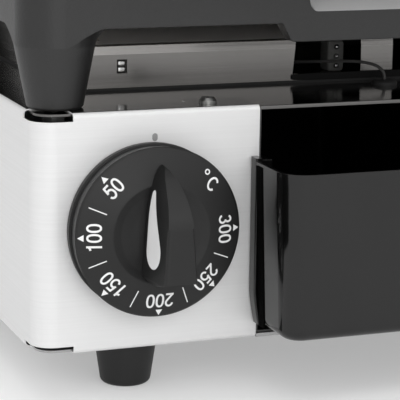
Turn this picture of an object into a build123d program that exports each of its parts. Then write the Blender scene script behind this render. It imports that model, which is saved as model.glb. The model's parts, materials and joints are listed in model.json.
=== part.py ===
"""Contact grill: folded housing, cast plates, self-levelling lid, dial and drip tray.

Working frame in millimetres: X across, with 0 on the middle plane, Y rearwards with 0 on
the front panel, Z up from the surface that the grill stands on. Before writing, the whole
grill is moved along Y so that the origin lies under the middle of its bounding box.
"""

import os
from math import radians, tan

from build123d import *

# Housing
width = 340.0
depth = 300.0
housing_height = 104.5
sheet = 0.6
bend_radius = 2.2
corner_radius = 10.0
relief_length = 17.0
relief_height = 3.5
flange_depth = 16.0
tab_depth = 23.0
tab_width = 27.0
tab_inset = 1.5
panel_width = 101.2
rear_return = 26.0
plate_sheet = 1.0
plate_inset = 0.3
deck_lip = 1.6
vent_width = 3.0
vent_length = 34.0
vent_pitch = 8.0

# Feet
foot_height = 20.5
foot_top_radius = 14.0
foot_bottom_radius = 11.0
foot_edge = 2.5
foot_side = 46.8
foot_front = 20.0
foot_recess_radius = 5.0
foot_recess_depth = 12.0

# Screws
screw_radius = 2.0
screw_head_radius = 3.9
screw_head_height = 2.6
screw_length = 7.0
screw_side = 81.0
screw_front = 11.0
screw_clearance = 0.15

# Lower plate
plate_overhang = 3.0
plate_front = 1.0
plate_back_gap = 44.0
plate_corner = 17.3
leg_height = 34.7
leg_foot_radius = 12.2
leg_draft_height = 27.0
leg_flare = 6.5
rim_height = 30.3
rim_wall = 9.0
rim_round = 3.0
trough_level = 12.0
trough_width = 28.0
gutter_width = 10.0
rib_root = 20.5
rib_height = 5.0
rib_pitch = 10.0
rib_crown = 3.0
rib_foot = 6.4
spout_half_width = 45.0
spout_flare = 5.5
spout_level = 4.5
spout_round = 4.0
apron_half_width = 54.0
apron_flare = 5.5
apron_drop = 8.1
apron_thickness = 8.0
pocket_wall = 38.0
pocket_depth = 14.0
plate_bolt_radius = 3.0
plate_bolt_depth = 18.0

# Heating
heater_radius = 3.5
heater_runs = 3
heater_side_gap = 15.0
heater_end_gap = 20.0
insulation_thickness = 4.5
cover_thickness = 1.0
cover_margin = 4.0

# Wiring box on the deck
box_side_gap = 32.0
box_front = 58.0
box_back_gap = 58.0
box_height = 19.8
box_bevel = 4.6
box_bevel_slope = 8.0
box_edge = 0.8
box_wall = 0.8
gasket_height = 1.3
gasket_width = 6.0
window_left = 28.5
window_tongue_left = 6.7
window_tongue_right = 23.4
window_right = 46.0
window_sill = 3.0
cutout_side = 112.6
cutout_width = 4.8
cutout_height = 6.4
cutout_sill = 6.5
sleeve_radius = 1.2
sleeve_side = 12.5
sleeve_end_side = -28.5
sleeve_end_back = 30.0
sleeve_tail = 14.0
grommet_radius = 6.0
grommet_front = 44.0
grommet_height = 2.4

# Dial
dial_side = 50.5
dial_level = 54.2
dial_gap = 1.0
dial_radius = 36.7
dial_face_radius = 36.8
dial_depth = 12.4
dial_flange = 3.0
dial_groove = 0.9
dial_groove_width = 1.2
dial_edge = 0.7
dial_rise = 4.0
dial_wall = 2.2
dial_hub_radius = 9.0
dial_hub_gap = 4.4
dish_radius = 20.0
dish_depth = 0.9
grip_half_width = 8.8
grip_heel = 16.7
grip_rear = 21.8
grip_rear_top = 15.8
grip_waist = 7.2
grip_waist_up = 6.8
grip_cheek = 5.4
grip_cheek_up = 18.7
grip_nose = 30.0
grip_height = 29.0
grip_shoulder = 23.0
grip_nose_height = 6.0
grip_draft = 3.5
grip_round = 1.6
inlay_low = -4.7
inlay_high = 18.4
inlay_radius = 7.3
inlay_tip_radius = 1.8
inlay_height = 14.0
inlay_tip_height = 8.2
inlay_thickness = 1.6
shaft_radius = 3.0
shaft_clearance = 0.05

# Thermostat
bushing_radius = 5.0
bushing_length = 4.6
nut_height = 2.6
nut_width = 14.0
body_size = 36.0
body_depth = 42.0
bulb_radius = 2.0
bulb_length = 95.0
capillary_radius = 0.9
capillary_gap = 0.6
capillary_back = 17.0
capillary_side_gap = 18.5

# Pilot lamps
lamp_side = 50.5
lamp_level = 66.0
lamp_spacing = 32.0
lamp_offset = 8.0
lamp_bezel_radius = 8.0
lamp_bezel_height = 2.4
lamp_body_radius = 5.6
lamp_body_length = 26.0
lens_radius = 5.2
lens_height = 2.0

# Drip tray and its bay
tray_lap = 4.0
tray_overhang = 41.0
tray_back_gap = 79.0
tray_bottom = 7.2
tray_rim = 80.7
tray_wall = 1.8
tray_corner = 12.0
tray_base_round = 5.0
tray_draft = 2.0
tray_gap = 1.5
bay_clearance = 3.0
runner_width = 9.0
runner_gap = 0.3

# Hinge and arm
hinge_inset = 23.0
hinge_rise = 15.0
hinge_shaft_radius = 6.0
hinge_shaft_end = 1.0
bracket_gap = 4.0
bracket_thickness = 4.0
bracket_base = 3.0
bracket_foot = 18.0
bracket_screw_inset = 7.0
bush_wall = 2.0
bush_flange = 1.5
bush_flange_radius = 11.0
spring_radius = 12.5
spring_wire = 3.0
spring_coils = 8
hinge_cover_radius = 19.0
hinge_cover_wall = 1.0
arm_gap = 4.0
arm_radius = 8.0
arm_wall = 1.5
arm_bend = 34.0
arm_front = 38.0
hub_radius = 15.0
hub_width = 16.0
grip_bar_radius = 14.0
grip_bar_length = 150.0
running_gap = 0.3

# Upper plate
upper_side_gap = 23.0
upper_front_gap = 11.0
upper_back_gap = 26.0
upper_corner = 16.0
upper_height = 28.0
upper_lift = 0.5
upper_cover_height = 12.0
upper_cover_inset = 5.0
upper_cover_bevel = 5.0
upper_wall = 8.0
upper_floor = 5.0
upper_heater_side_gap = 55.0
upper_heater_end_gap = 42.0
pivot_bolt_radius = 4.0
pivot_head_radius = 7.0
pivot_head_height = 4.0
pivot_boss_radius = 10.0
stud_radius = 2.5
cover_nut_inset = 26.0
cover_nut_radius = 4.5
cover_nut_height = 5.0

# Mains inlet
gland_side_gap = 60.0
gland_level = 32.0
gland_radius = 8.0
gland_bore = 3.6
gland_length = 16.0
gland_flange_radius = 11.0
gland_flange = 3.0
gland_nut_width = 20.0
gland_nut_height = 5.0
terminal_width = 44.0
terminal_depth = 18.0
terminal_height = 16.0
terminal_back_gap = 78.0
rear_screw_inset = 20.0
base_vent_side_gap = 50.0

# Levels and places that follow from the sizes above
floor_level = foot_height
housing_top = foot_height + housing_height
deck_top = housing_top - sheet
deck_bottom = deck_top - plate_sheet
base_top = floor_level + sheet + plate_sheet
left_side = -width / 2
opening_width = width - 2 * panel_width
plate_width = width + 2 * plate_overhang
plate_depth = depth - plate_back_gap - plate_front
plate_bottom = housing_top + leg_height
rim_top = plate_bottom + rim_height
leg_side = plate_width / 2 - plate_corner
leg_front = plate_front + plate_corner
leg_back = plate_front + plate_depth - plate_corner
plate_middle = plate_front + plate_depth / 2
box_width = width - 2 * box_side_gap
box_depth = plate_front + plate_depth - box_back_gap - box_front
capillary_x = -box_width / 2 + capillary_side_gap
rib_top = plate_bottom + rib_root + rib_height
upper_bottom = rib_top + upper_lift
upper_width = plate_width - 2 * upper_side_gap
upper_front = plate_front + upper_front_gap
upper_depth = plate_depth - upper_front_gap - upper_back_gap
upper_middle = upper_front + upper_depth / 2
hinge_level = rim_top + hinge_rise
hinge_back = depth - hinge_inset
arm_side = upper_width / 2 + arm_gap + arm_radius
bracket_side = arm_side - hub_width / 2 - bracket_gap - bracket_thickness
hinge_shaft_half = arm_side + hub_width / 2 + hinge_shaft_end
pivot_back = upper_middle
gland_side = -left_side - gland_side_gap
dial_x = left_side + dial_side
dial_z = foot_height + dial_level
dial_back = -dial_gap
dial_front = dial_back - dial_depth
dish_floor = dial_front - dial_rise + dish_depth
shaft_tip = dish_floor + dial_wall
tray_low = foot_height + tray_bottom
tray_high = foot_height + tray_rim
tray_front_width = opening_width + 2 * tray_lap
tray_body_width = opening_width - 2 * bay_clearance
tray_length = depth - tray_back_gap + tray_overhang
box_bottom = deck_top + gasket_height


def block(x0, x1, y0, y1, z0, z1):
    """Straight block between two corners."""
    corner = Pos((x0 + x1) / 2, (y0 + y1) / 2, (z0 + z1) / 2)
    return corner * Box(x1 - x0, y1 - y0, z1 - z0)


def rod(x, y, z, radius, length, axis="z"):
    """Cylinder that starts at a point and runs along +X, +Y or +Z."""
    turn = {"x": (0, 90, 0), "y": (-90, 0, 0), "z": (0, 0, 0)}[axis]
    low = (Align.CENTER, Align.CENTER, Align.MIN)
    return Pos(x, y, z) * Rot(*turn) * Cylinder(radius, length, align=low)


def hexagon(x, y, z, across, length, axis="z"):
    """Hexagonal prism that starts at a point and runs along +X, +Y or +Z."""
    turn = {"x": (0, 90, 0), "y": (-90, 0, 0), "z": (0, 0, 0)}[axis]
    face = RegularPolygon(across / 2, 6, major_radius=False)
    return Pos(x, y, z) * Rot(*turn) * extrude(face, length)


def slab(wide, deep, radius, middle, z0, z1, taper=0):
    """Rounded rectangular prism centred on X = 0."""
    face = Pos(0, middle, z0) * RectangleRounded(wide, deep, radius)
    return extrude(face, z1 - z0, taper=taper)


def turned(points, x, y, z, axis="z"):
    """Solid of revolution of a radius and height outline about +X, +Y or +Z."""
    turn = {"x": (0, 90, 0), "y": (-90, 0, 0), "z": (0, 0, 0)}[axis]
    outline = make_face(Plane.XZ * Polyline(*points, close=True))
    return Pos(x, y, z) * Rot(*turn) * revolve(outline, Axis.Z)


def pan_screw(x, y, z, length, axis="z", flip=False):
    """Pan-head screw whose head rests at the given point."""
    head = screw_head_height
    outline = [
        (0, -length),
        (screw_radius, -length),
        (screw_radius, 0),
        (screw_head_radius, 0),
        (screw_head_radius, head * 0.45),
        (screw_head_radius * 0.72, head),
        (0, head),
    ]
    solid = turned(outline, 0, 0, 0)
    recess = Pos(0, 0, head) * Box(screw_head_radius * 1.1, 0.9, 1.6)
    solid = solid - recess - Rot(0, 0, 90) * recess
    turn = {"x": (0, 90, 0), "y": (-90, 0, 0), "z": (0, 0, 0)}[axis]
    upside = Rot(180, 0, 0) if flip else Rot(0, 0, 0)
    return Pos(x, y, z) * Rot(*turn) * upside * solid


def together(solids):
    """Separate solids as one piece."""
    whole = solids[0]
    for solid in solids[1:]:
        whole += solid
    return whole


def both_sides(solid):
    """The solid and its mirror image across the middle plane."""
    return solid + mirror(solid, about=Plane.YZ)


def folded_profile(plane):
    """C-shaped fold of sheet: a wall, two bends and two flanges, open inwards."""
    outer = Pos(flange_depth / 2, housing_height / 2) * Rectangle(
        flange_depth, housing_height
    )
    outer = fillet(outer.vertices().sort_by(Axis.X)[:2], bend_radius)
    inner = Pos(sheet + flange_depth / 2, housing_height / 2) * Rectangle(
        flange_depth, housing_height - 2 * sheet
    )
    inner = fillet(inner.vertices().sort_by(Axis.X)[:2], bend_radius - sheet)
    return plane * (outer - inner)


def housing_half():
    """Left half of the wrap: front panel, left side and the return at the back."""
    wall_left = left_side + relief_length
    panel_edge = -opening_width / 2
    front_plane = Plane((wall_left, 0, floor_level), x_dir=(0, 1, 0), z_dir=(1, 0, 0))
    panel = extrude(folded_profile(front_plane), panel_edge - wall_left)
    back_plane = Plane((wall_left, depth, floor_level), x_dir=(0, -1, 0), z_dir=(-1, 0, 0))
    back = extrude(folded_profile(back_plane), -rear_return)
    side_plane = Plane(
        (left_side, relief_length, floor_level), x_dir=(1, 0, 0), z_dir=(0, -1, 0)
    )
    side = extrude(folded_profile(side_plane), -(depth - 2 * relief_length))
    low = floor_level + relief_height
    high = housing_top - relief_height
    ring = slab(width, depth, corner_radius, depth / 2, low, high)
    ring -= slab(
        width - 2 * sheet,
        depth - 2 * sheet,
        corner_radius - sheet,
        depth / 2,
        low - 1,
        high + 1,
    )
    reach = relief_length + 1
    front_corner = ring & block(left_side, left_side + reach, 0, reach, low, high)
    back_corner = ring & block(
        left_side, left_side + reach, depth - reach, depth, low, high
    )
    wrap = panel + back + side + front_corner + back_corner
    tab_right = panel_edge - tab_inset
    tab = block(
        tab_right - tab_width,
        tab_right,
        flange_depth - 4,
        tab_depth,
        deck_top,
        housing_top,
    )
    tab = fillet(tab.edges().filter_by(Axis.Z).group_by(Axis.Y)[-1], 3)
    trim = block(tab_right, panel_edge + 1, bend_radius, tab_depth, deck_top, housing_top)
    wrap = wrap + tab - trim
    wrap -= rod(
        left_side + screw_side,
        screw_front,
        deck_top - 1,
        screw_radius + screw_clearance,
        3,
    )
    for y in (leg_front, leg_back):
        wrap -= rod(-leg_side, y, deck_top - 1, plate_bolt_radius + 0.4, 3)
    for x, y in bracket_screw_places():
        wrap -= rod(x, y, deck_top - 1, screw_radius + screw_clearance, 3)
    for x, z in rear_screw_places():
        wrap -= rod(x, depth - 2, z, screw_radius + screw_clearance, 4, "y")
    return wrap


def housing_left():
    """Left wrap with the hole for the thermostat bushing."""
    return housing_half() - rod(dial_x, -1, dial_z, bushing_radius + 0.1, 3, "y")


def housing_right():
    """Right wrap with the holes for the two pilot lamps."""
    wrap = mirror(housing_half(), about=Plane.YZ)
    for z in lamp_levels():
        wrap -= rod(-left_side - lamp_side, -1, z, lamp_body_radius + 0.1, 3, "y")
    return wrap


def lamp_levels():
    """Heights of the two pilot lamps, one above the other."""
    middle = foot_height + lamp_level - lamp_offset
    return middle - lamp_spacing / 2, middle + lamp_spacing / 2


def vents(count, x, y, z, size_y, size_z):
    """Row of rounded slots through a sheet, spread along X."""
    if size_z > size_y:
        face = Plane.XZ * SlotOverall(vent_length, vent_width, rotation=90)
    else:
        face = SlotOverall(vent_length, vent_width, rotation=90)
    slot = extrude(face, 6, both=True)
    row = [
        Pos(x + (i - (count - 1) / 2) * vent_pitch, y, z) * slot for i in range(count)
    ]
    return row


def base_plate():
    """Bottom plate with vents, its front edge folded down under the tray opening."""
    inset = bend_radius + plate_inset
    low = floor_level + sheet
    plate = slab(
        width - 2 * inset, depth - 2 * inset, corner_radius - 2, depth / 2, low, base_top
    )
    half = opening_width / 2 - plate_inset
    plate += block(-half, half, 0.4, 6, low, base_top)
    plate += block(-half, half, 0.4, 1.4, floor_level, base_top)
    for side in (-1, 1):
        for slot in vents(6, side * (-left_side - base_vent_side_gap), depth / 2, low, 2, 1):
            plate -= slot
    for x in (left_side + foot_side, -left_side - foot_side):
        for y in (foot_front, depth - foot_front):
            plate -= rod(x, y, low - 1, screw_radius + screw_clearance, 4)
    return plate


def deck_plate():
    """Top plate under the castings, with its front edge folded down over the tray."""
    inset = bend_radius + plate_inset
    deck = slab(
        width - 2 * inset,
        depth - 2 * inset,
        corner_radius - 2,
        depth / 2,
        deck_bottom,
        deck_top,
    )
    half = opening_width / 2 - plate_inset
    lip = block(-half, half, 0.3, 6, deck_bottom, deck_top)
    lip += block(-half, half, 0.3, 1.3, deck_top - deck_lip, deck_top)
    lip = fillet(lip.edges().filter_by(Axis.X).group_by(Axis.Y)[0].sort_by(Axis.Z)[-1], 0.7)
    deck += lip
    for x in (left_side + screw_side, -left_side - screw_side):
        deck -= rod(x, screw_front, deck_bottom - 1, screw_radius + 0.02, 3)
    for x in (-leg_side, leg_side):
        for y in (leg_front, leg_back):
            deck -= rod(x, y, deck_bottom - 1, plate_bolt_radius + 0.4, 3)
    deck -= rod(sleeve_side, grommet_front, deck_bottom - 1, grommet_radius - 1.5, 3)
    deck -= capillary_hole()
    for x, y in bracket_screw_places():
        deck -= rod(x, y, deck_bottom - 1, screw_radius + 0.02, 3)
    return deck


def rear_panel():
    """Back sheet inside the returns, with vents and the hole for the cable gland."""
    half = -left_side - relief_length - 2
    y1 = depth - sheet
    panel = block(-half, half, y1 - plate_sheet, y1, base_top + 1, deck_bottom - 1)
    for slot in vents(14, 0, y1, floor_level + housing_height / 2, 1, 2):
        panel -= slot
    panel -= rod(
        gland_side, y1 - 4, foot_height + gland_level, gland_radius + 0.1, 8, "y"
    )
    for x, z in rear_screw_places():
        panel -= rod(x, y1 - 4, z, screw_radius + 0.02, 8, "y")
    return panel


def rear_screw_places():
    """X and Z of the four screws that hold the back sheet."""
    x = -left_side - relief_length - rear_return / 2
    return [
        (side * x, level)
        for side in (-1, 1)
        for level in (floor_level + rear_screw_inset, housing_top - rear_screw_inset)
    ]


def rear_screws():
    """Four pan-head screws through the returns into the back sheet."""
    group = [pan_screw(x, depth, z, screw_length, "y") for x, z in rear_screw_places()]
    return together(group)


def deck_screws():
    """Two pan-head screws that hold the tabs of the wraps to the deck."""
    left = pan_screw(left_side + screw_side, screw_front, housing_top, screw_length)
    right = pan_screw(-left_side - screw_side, screw_front, housing_top, screw_length)
    return together([left, right])


def foot(x, y):
    """Tapered plastic foot with a rounded base and a screw recess."""
    face = make_face(
        Plane.XZ
        * Polyline(
            (0, 0),
            (foot_bottom_radius, 0),
            (foot_top_radius, foot_height),
            (0, foot_height),
            close=True,
        )
    )
    body = revolve(face, Axis.Z)
    body = fillet(body.edges().filter_by(GeomType.CIRCLE).sort_by(Axis.Z)[0], foot_edge)
    body -= rod(0, 0, -1, foot_recess_radius, foot_recess_depth + 1)
    body -= rod(0, 0, 0, screw_radius + screw_clearance, foot_height + 1)
    return Pos(x, y, 0) * body


def foot_places():
    """X and Y of the four feet, by name."""
    x = -left_side - foot_side
    return {
        "foot_front_left": (-x, foot_front),
        "foot_front_right": (x, foot_front),
        "foot_back_left": (-x, depth - foot_front),
        "foot_back_right": (x, depth - foot_front),
    }


def foot_screws():
    """Four screws up through the feet into the base plate."""
    length = foot_height - foot_recess_depth + sheet + plate_sheet + 3
    group = [
        pan_screw(x, y, foot_recess_depth, length, flip=True)
        for x, y in foot_places().values()
    ]
    return together(group)


def foot_screw_nuts():
    """Nuts that close the foot screws on top of the base plate."""
    group = []
    for x, y in foot_places().values():
        nut = hexagon(x, y, base_top, 7, 2.8)
        group.append(nut - rod(x, y, base_top - 1, screw_radius + 0.02, 6))
    return together(group)


def plate_outline(z0, z1):
    """Outer outline of the lower casting, as a prism between two heights."""
    return slab(plate_width, plate_depth, plate_corner, plate_middle, z0, z1)


def ribbed_block(wide, deep, middle, root, crown, low, up=True):
    """Block with trapezoidal ribs that run front to back along one face."""
    face = Rectangle(wide, root - low) if up else Rectangle(wide, low - root)
    face = Pos(0, (root + low) / 2) * face
    count = int((wide - 12) // rib_pitch)
    step = crown - root
    for i in range(count):
        x = (i - (count - 1) / 2) * rib_pitch
        rib = make_face(
            Polyline(
                (x - rib_foot / 2, root - step * 0.1),
                (x - rib_crown / 2, crown),
                (x + rib_crown / 2, crown),
                (x + rib_foot / 2, root - step * 0.1),
                close=True,
            )
        )
        face += rib
    plane = Plane((0, middle + deep / 2, 0), x_dir=(1, 0, 0), z_dir=(0, -1, 0))
    return extrude(plane * face, deep)


def casting_leg(x, y):
    """Drafted leg under a corner, flared where it runs into the skirt."""
    top = leg_height
    with BuildSketch(Plane.XZ) as outline:
        with BuildLine():
            Line((0, 0), (leg_foot_radius - 1, 0))
            Line((leg_foot_radius - 1, 0), (leg_foot_radius, 1))
            Line((leg_foot_radius, 1), (plate_corner, leg_draft_height))
            edge = TangentArc(
                (plate_corner, leg_draft_height),
                (plate_corner + leg_flare, top),
                tangent=(plate_corner - leg_foot_radius, leg_draft_height - 1),
            )
            Line(edge @ 1, (plate_corner + leg_flare, top + 1))
            Line((plate_corner + leg_flare, top + 1), (0, top + 1))
            Line((0, top + 1), (0, 0))
        make_face()
    leg = revolve(outline.sketch, Axis.Z)
    return Pos(x, y, housing_top) * leg


def spout_cut():
    """Wedge that opens the front rim and lets the trough drain forwards."""
    low = plate_bottom + spout_level
    high = rim_top + 2
    face = make_face(
        Polyline(
            (-spout_half_width, low),
            (spout_half_width, low),
            (spout_half_width + spout_flare, high),
            (-spout_half_width - spout_flare, high),
            close=True,
        )
    )
    face = fillet(face.vertices().sort_by(Axis.Y)[:2], spout_round)
    plane = Plane((0, plate_front - 1, 0), x_dir=(1, 0, 0), z_dir=(0, -1, 0))
    run = trough_width - rim_wall
    rise = trough_level - spout_level
    return extrude(plane * face, run, dir=(0, run, rise))


def apron():
    """Deeper lip under the spout that leads the fat down to the tray."""
    low = plate_bottom - apron_drop
    face = make_face(
        Polyline(
            (-apron_half_width, low),
            (apron_half_width, low),
            (apron_half_width + apron_flare, plate_bottom + 2),
            (-apron_half_width - apron_flare, plate_bottom + 2),
            close=True,
        )
    )
    face = fillet(face.vertices().sort_by(Axis.Y)[:2], 2.5)
    plane = Plane(
        (0, plate_front + apron_thickness, 0), x_dir=(1, 0, 0), z_dir=(0, -1, 0)
    )
    return extrude(plane * face, apron_thickness)


def lower_grill_plate():
    """Cast lower plate: rim, trough, spout, ribs and four tapered legs."""
    body = plate_outline(plate_bottom, rim_top)
    body = fillet(body.edges().group_by(Axis.Z)[-1], rim_round)
    trough = plate_bottom + trough_level
    hollow = slab(
        plate_width - 2 * rim_wall,
        plate_depth - 2 * rim_wall,
        plate_corner - rim_wall,
        plate_middle,
        trough,
        rim_top + 5,
        taper=-4,
    )
    body -= hollow
    front = plate_front + rim_wall + trough_width
    back = plate_front + plate_depth - rim_wall - gutter_width
    wide = plate_width - 2 * (rim_wall + gutter_width)
    body += ribbed_block(
        wide,
        back - front,
        (front + back) / 2,
        plate_bottom + rib_root,
        rib_top,
        trough - 1,
    )
    body = body - spout_cut() + apron()
    outline = plate_outline(housing_top, plate_bottom + 1)
    for x in (-leg_side, leg_side):
        for y in (leg_front, leg_back):
            body += casting_leg(x, y) & outline
    body -= pocket_block(0, plate_bottom - 1, plate_bottom + pocket_depth)
    for x in (-leg_side, leg_side):
        for y in (leg_front, leg_back):
            body -= rod(x, y, housing_top - 1, plate_bolt_radius + 0.02, plate_bolt_depth)
    return body


def pocket_block(inset, z0, z1):
    """Block that fills the pocket under the lower casting, less an inset all round."""
    front = plate_front + rim_wall + trough_width + 2 + inset
    back = plate_front + plate_depth - pocket_wall - inset
    wide = plate_width - 2 * pocket_wall - 2 * inset
    return slab(wide, back - front, 6, (front + back) / 2, z0, z1)


def plate_bolts():
    """Four hexagon bolts from under the deck up into the legs."""
    group = []
    for x in (-leg_side, leg_side):
        for y in (leg_front, leg_back):
            head = hexagon(x, y, deck_bottom - 4, 10, 4)
            shank = rod(x, y, deck_bottom - 1, plate_bolt_radius, plate_bolt_depth)
            group.append(head + shank)
    return together(group)


def heater_loop(wide, deep, middle, level, radius):
    """Tubular heater bent to and fro, with straight cold ends at one side."""
    gap = deep / (2 * heater_runs - 1)
    left = -wide / 2
    right = wide / 2
    front = middle - deep / 2
    corners = [(left, front, level)]
    for i in range(2 * heater_runs - 1):
        x = right if i % 2 == 0 else left
        corners.append((x, front + i * gap, level))
        corners.append((x, front + (i + 1) * gap, level))
    corners.append((left, front + (2 * heater_runs - 1) * gap, level))
    path = FilletPolyline(*corners, radius=gap * 0.46)
    start = Plane(path @ 0, z_dir=path % 0)
    return sweep(start * Circle(radius), path=path)


def lower_heater():
    """Heater that lies against the underside of the lower casting."""
    front = plate_front + rim_wall + trough_width + 2
    back = plate_front + plate_depth - pocket_wall
    wide = plate_width - 2 * (pocket_wall + heater_side_gap)
    level = plate_bottom + pocket_depth - heater_radius
    return heater_loop(
        wide, back - front - 2 * heater_end_gap, (front + back) / 2, level, heater_radius
    )


def lower_insulation():
    """Mineral board under the heater."""
    high = plate_bottom + pocket_depth - 2 * heater_radius
    return pocket_block(1, high - insulation_thickness, high) - capillary_hole()


def heater_cover():
    """Thin steel plate that closes the pocket under the lower casting."""
    high = plate_bottom
    front = plate_front + rim_wall + trough_width + 2 - cover_margin
    back = plate_front + plate_depth - pocket_wall + cover_margin
    wide = plate_width - 2 * pocket_wall + 2 * cover_margin
    plate = slab(
        wide, back - front, 8, (front + back) / 2, high - cover_thickness, high
    )
    board = plate_bottom + pocket_depth - 2 * heater_radius - insulation_thickness
    press = pocket_block(24, high - 0.5, board)
    press -= pocket_block(25, high - 1, board - 1)
    return plate + press - capillary_hole()


def wiring_box():
    """Polished box on the deck: steep bevel round its top and two windows in its front."""
    low = box_bottom
    high = box_bottom + box_height
    shoulder = high - box_bevel
    middle = box_front + box_depth / 2
    face = Rectangle(box_width, box_depth)
    body = extrude(Pos(0, middle, low) * face, shoulder - low)
    body += extrude(Pos(0, middle, shoulder) * face, box_bevel, taper=box_bevel_slope)
    body = chamfer(body.faces().sort_by(Axis.Z)[-1].edges(), box_edge)
    openings = [body.faces().sort_by(Axis.Z)[0]]
    body = offset(body, -box_wall, openings=openings)
    windows = [
        (-window_left, -window_left + 1.8, window_tongue_left),
        (window_tongue_right, window_tongue_right, window_right),
    ]
    plane = Plane((0, box_front - 2, 0), x_dir=(1, 0, 0), z_dir=(0, -1, 0))
    for x0, x1, x2 in windows:
        face = make_face(
            Polyline(
                (x0, low + window_sill),
                (x2, low + window_sill),
                (x2, high + 2),
                (x1, high + 2),
                close=True,
            )
        )
        body -= extrude(plane * face, -(box_bevel + 3))
    body -= block(
        -cutout_side - cutout_width / 2,
        -cutout_side + cutout_width / 2,
        box_front - 1,
        box_front + 2,
        low + cutout_sill,
        low + cutout_sill + cutout_height,
    )
    return body - capillary_hole()


def box_gasket():
    """Flat seal between the wiring box and the deck."""
    middle = box_front + box_depth / 2
    seal = slab(box_width, box_depth, 0.5, middle, deck_top, box_bottom)
    seal -= slab(
        box_width - 2 * gasket_width,
        box_depth - 2 * gasket_width,
        0.5,
        middle,
        deck_top - 1,
        box_bottom + 1,
    )
    return seal


def lead_grommet():
    """Rubber ring where the sleeved leads pass the deck in front of the box."""
    neck = grommet_radius - 1.6
    ring = turned(
        [
            (sleeve_radius + 0.05, -plate_sheet - 1),
            (neck, -plate_sheet - 1),
            (neck, 0),
            (grommet_radius, 0),
            (grommet_radius, grommet_height * 0.6),
            (neck, grommet_height),
            (sleeve_radius + 0.05, grommet_height),
        ],
        sleeve_side,
        grommet_front,
        deck_top,
    )
    return ring


def lead_sleeve():
    """Sleeved heater leads: up through the grommet and back into the box window."""
    level = box_bottom + box_height * 0.55
    path = FilletPolyline(
        (sleeve_side, grommet_front, deck_bottom - sleeve_tail),
        (sleeve_side, grommet_front, level),
        (sleeve_end_side, box_front + sleeve_end_back, level),
        radius=6.5,
    )
    start = Plane(path @ 0, z_dir=path % 0)
    return sweep(start * Circle(sleeve_radius), path=path)


def thermostat_body():
    """Thermostat case with its threaded bushing through the front panel."""
    half = body_size / 2
    case = block(
        dial_x - half,
        dial_x + half,
        sheet,
        sheet + body_depth,
        dial_z - half,
        dial_z + half,
    )
    case = fillet(case.edges().filter_by(Axis.Y), 3)
    case += rod(dial_x, -bushing_length, dial_z, bushing_radius, bushing_length + 1, "y")
    for i in (-1, 1):
        x = dial_x + i * 9
        case += block(
            x - 3, x + 3, sheet + body_depth - 1, sheet + body_depth + 8, dial_z, dial_z + 0.8
        )
    bore = bushing_length + 16
    return case - rod(
        dial_x, -bushing_length - 1, dial_z, shaft_radius + shaft_clearance, bore, "y"
    )


def thermostat_nut():
    """Flat nut that holds the bushing to the panel."""
    nut = hexagon(dial_x, -nut_height, dial_z, nut_width, nut_height, "y")
    return nut - rod(
        dial_x, -nut_height - 1, dial_z, bushing_radius + 0.02, nut_height + 2, "y"
    )


def capillary_hole():
    """Hole for the thin tube of the thermostat, through every sheet on its way."""
    y = box_front + capillary_back
    radius = capillary_radius + capillary_gap
    return rod(
        capillary_x, y, deck_bottom - 5, radius, plate_bottom + pocket_depth - deck_bottom
    )


def capillary_bulb():
    """Sensing bulb against the casting, with its thin tube down to the thermostat."""
    y = box_front + capillary_back
    level = plate_bottom + pocket_depth - bulb_radius
    start = capillary_x + 14
    bulb = rod(start, y, level, bulb_radius, bulb_length, "x")
    bend = 5.0
    back = sheet + body_depth
    corners = [
        (start + 1, y, level),
        (capillary_x, y, level),
        (capillary_x, y, deck_bottom - 2 * bend),
        (dial_x, back + bend, dial_z + body_size / 2 - 8),
        (dial_x, back, dial_z + body_size / 2 - 8),
    ]
    path = FilletPolyline(*corners, radius=[bend, bend, bend * 0.4])
    begin = Plane(path @ 0, z_dir=path % 0)
    return bulb + sweep(begin * Circle(capillary_radius), path=path)


def dial_disc():
    """Moulded dial: flange, groove, rim, conical face with a dish, and hollow back."""
    deep = dial_depth
    crown = dial_depth + dial_rise
    floor = crown - dish_depth
    groove = dial_radius - dial_groove
    groove_end = dial_flange + dial_groove_width
    inside = dial_radius - dial_groove - dial_wall
    outline = [
        (dial_hub_radius, dial_hub_gap),
        (dial_hub_radius, floor - dial_wall),
        (dish_radius - 1, floor - dial_wall),
        (inside, deep - dial_wall),
        (inside, 0),
        (dial_radius, 0),
        (dial_radius, dial_flange),
        (groove, dial_flange),
        (groove, groove_end),
        (dial_face_radius, deep - dial_edge),
        (dial_face_radius - dial_edge, deep),
        (dish_radius + 1.5, crown),
        (dish_radius - 2, floor + dish_depth / 4),
        (dish_radius - 7, floor),
        (0, floor),
        (0, dial_hub_gap),
    ]
    disc = turned(outline, 0, 0, 0)
    disc = Pos(dial_x, dial_back, dial_z) * Rot(90, 0, 0) * disc
    bore = rod(
        dial_x, shaft_tip, dial_z, shaft_radius + 0.01, dial_back - shaft_tip, "y"
    )
    return disc - bore


def dial_frame():
    """Plane on the rim of the dial: X across, Y up the dial, Z towards the user."""
    return Plane((dial_x, dial_front, dial_z), x_dir=(1, 0, 0), z_dir=(0, -1, 0))


def grip_section(height):
    """Outline of the grip at a height above the rim, narrower by its draft."""
    lean = tan(radians(grip_draft)) * (height - dial_rise + dish_depth)
    wide = grip_half_width - lean
    waist = grip_waist - lean
    cheek = grip_cheek - lean
    nose = grip_nose - lean
    with BuildSketch(Plane.XY.offset(height)) as plan:
        with BuildLine():
            Line((-waist, grip_waist_up), (-wide, -grip_heel))
            ThreePointArc((-wide, -grip_heel), (0, -grip_rear), (wide, -grip_heel))
            Line((wide, -grip_heel), (waist, grip_waist_up))
            Spline(
                (waist, grip_waist_up),
                (cheek, grip_cheek_up),
                (0, nose),
                tangents=[(-0.07, 1), (-1, 1)],
            )
            Spline(
                (0, nose),
                (-cheek, grip_cheek_up),
                (-waist, grip_waist_up),
                tangents=[(-1, -1), (-0.07, -1)],
            )
        make_face()
    return plan.sketch


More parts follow.
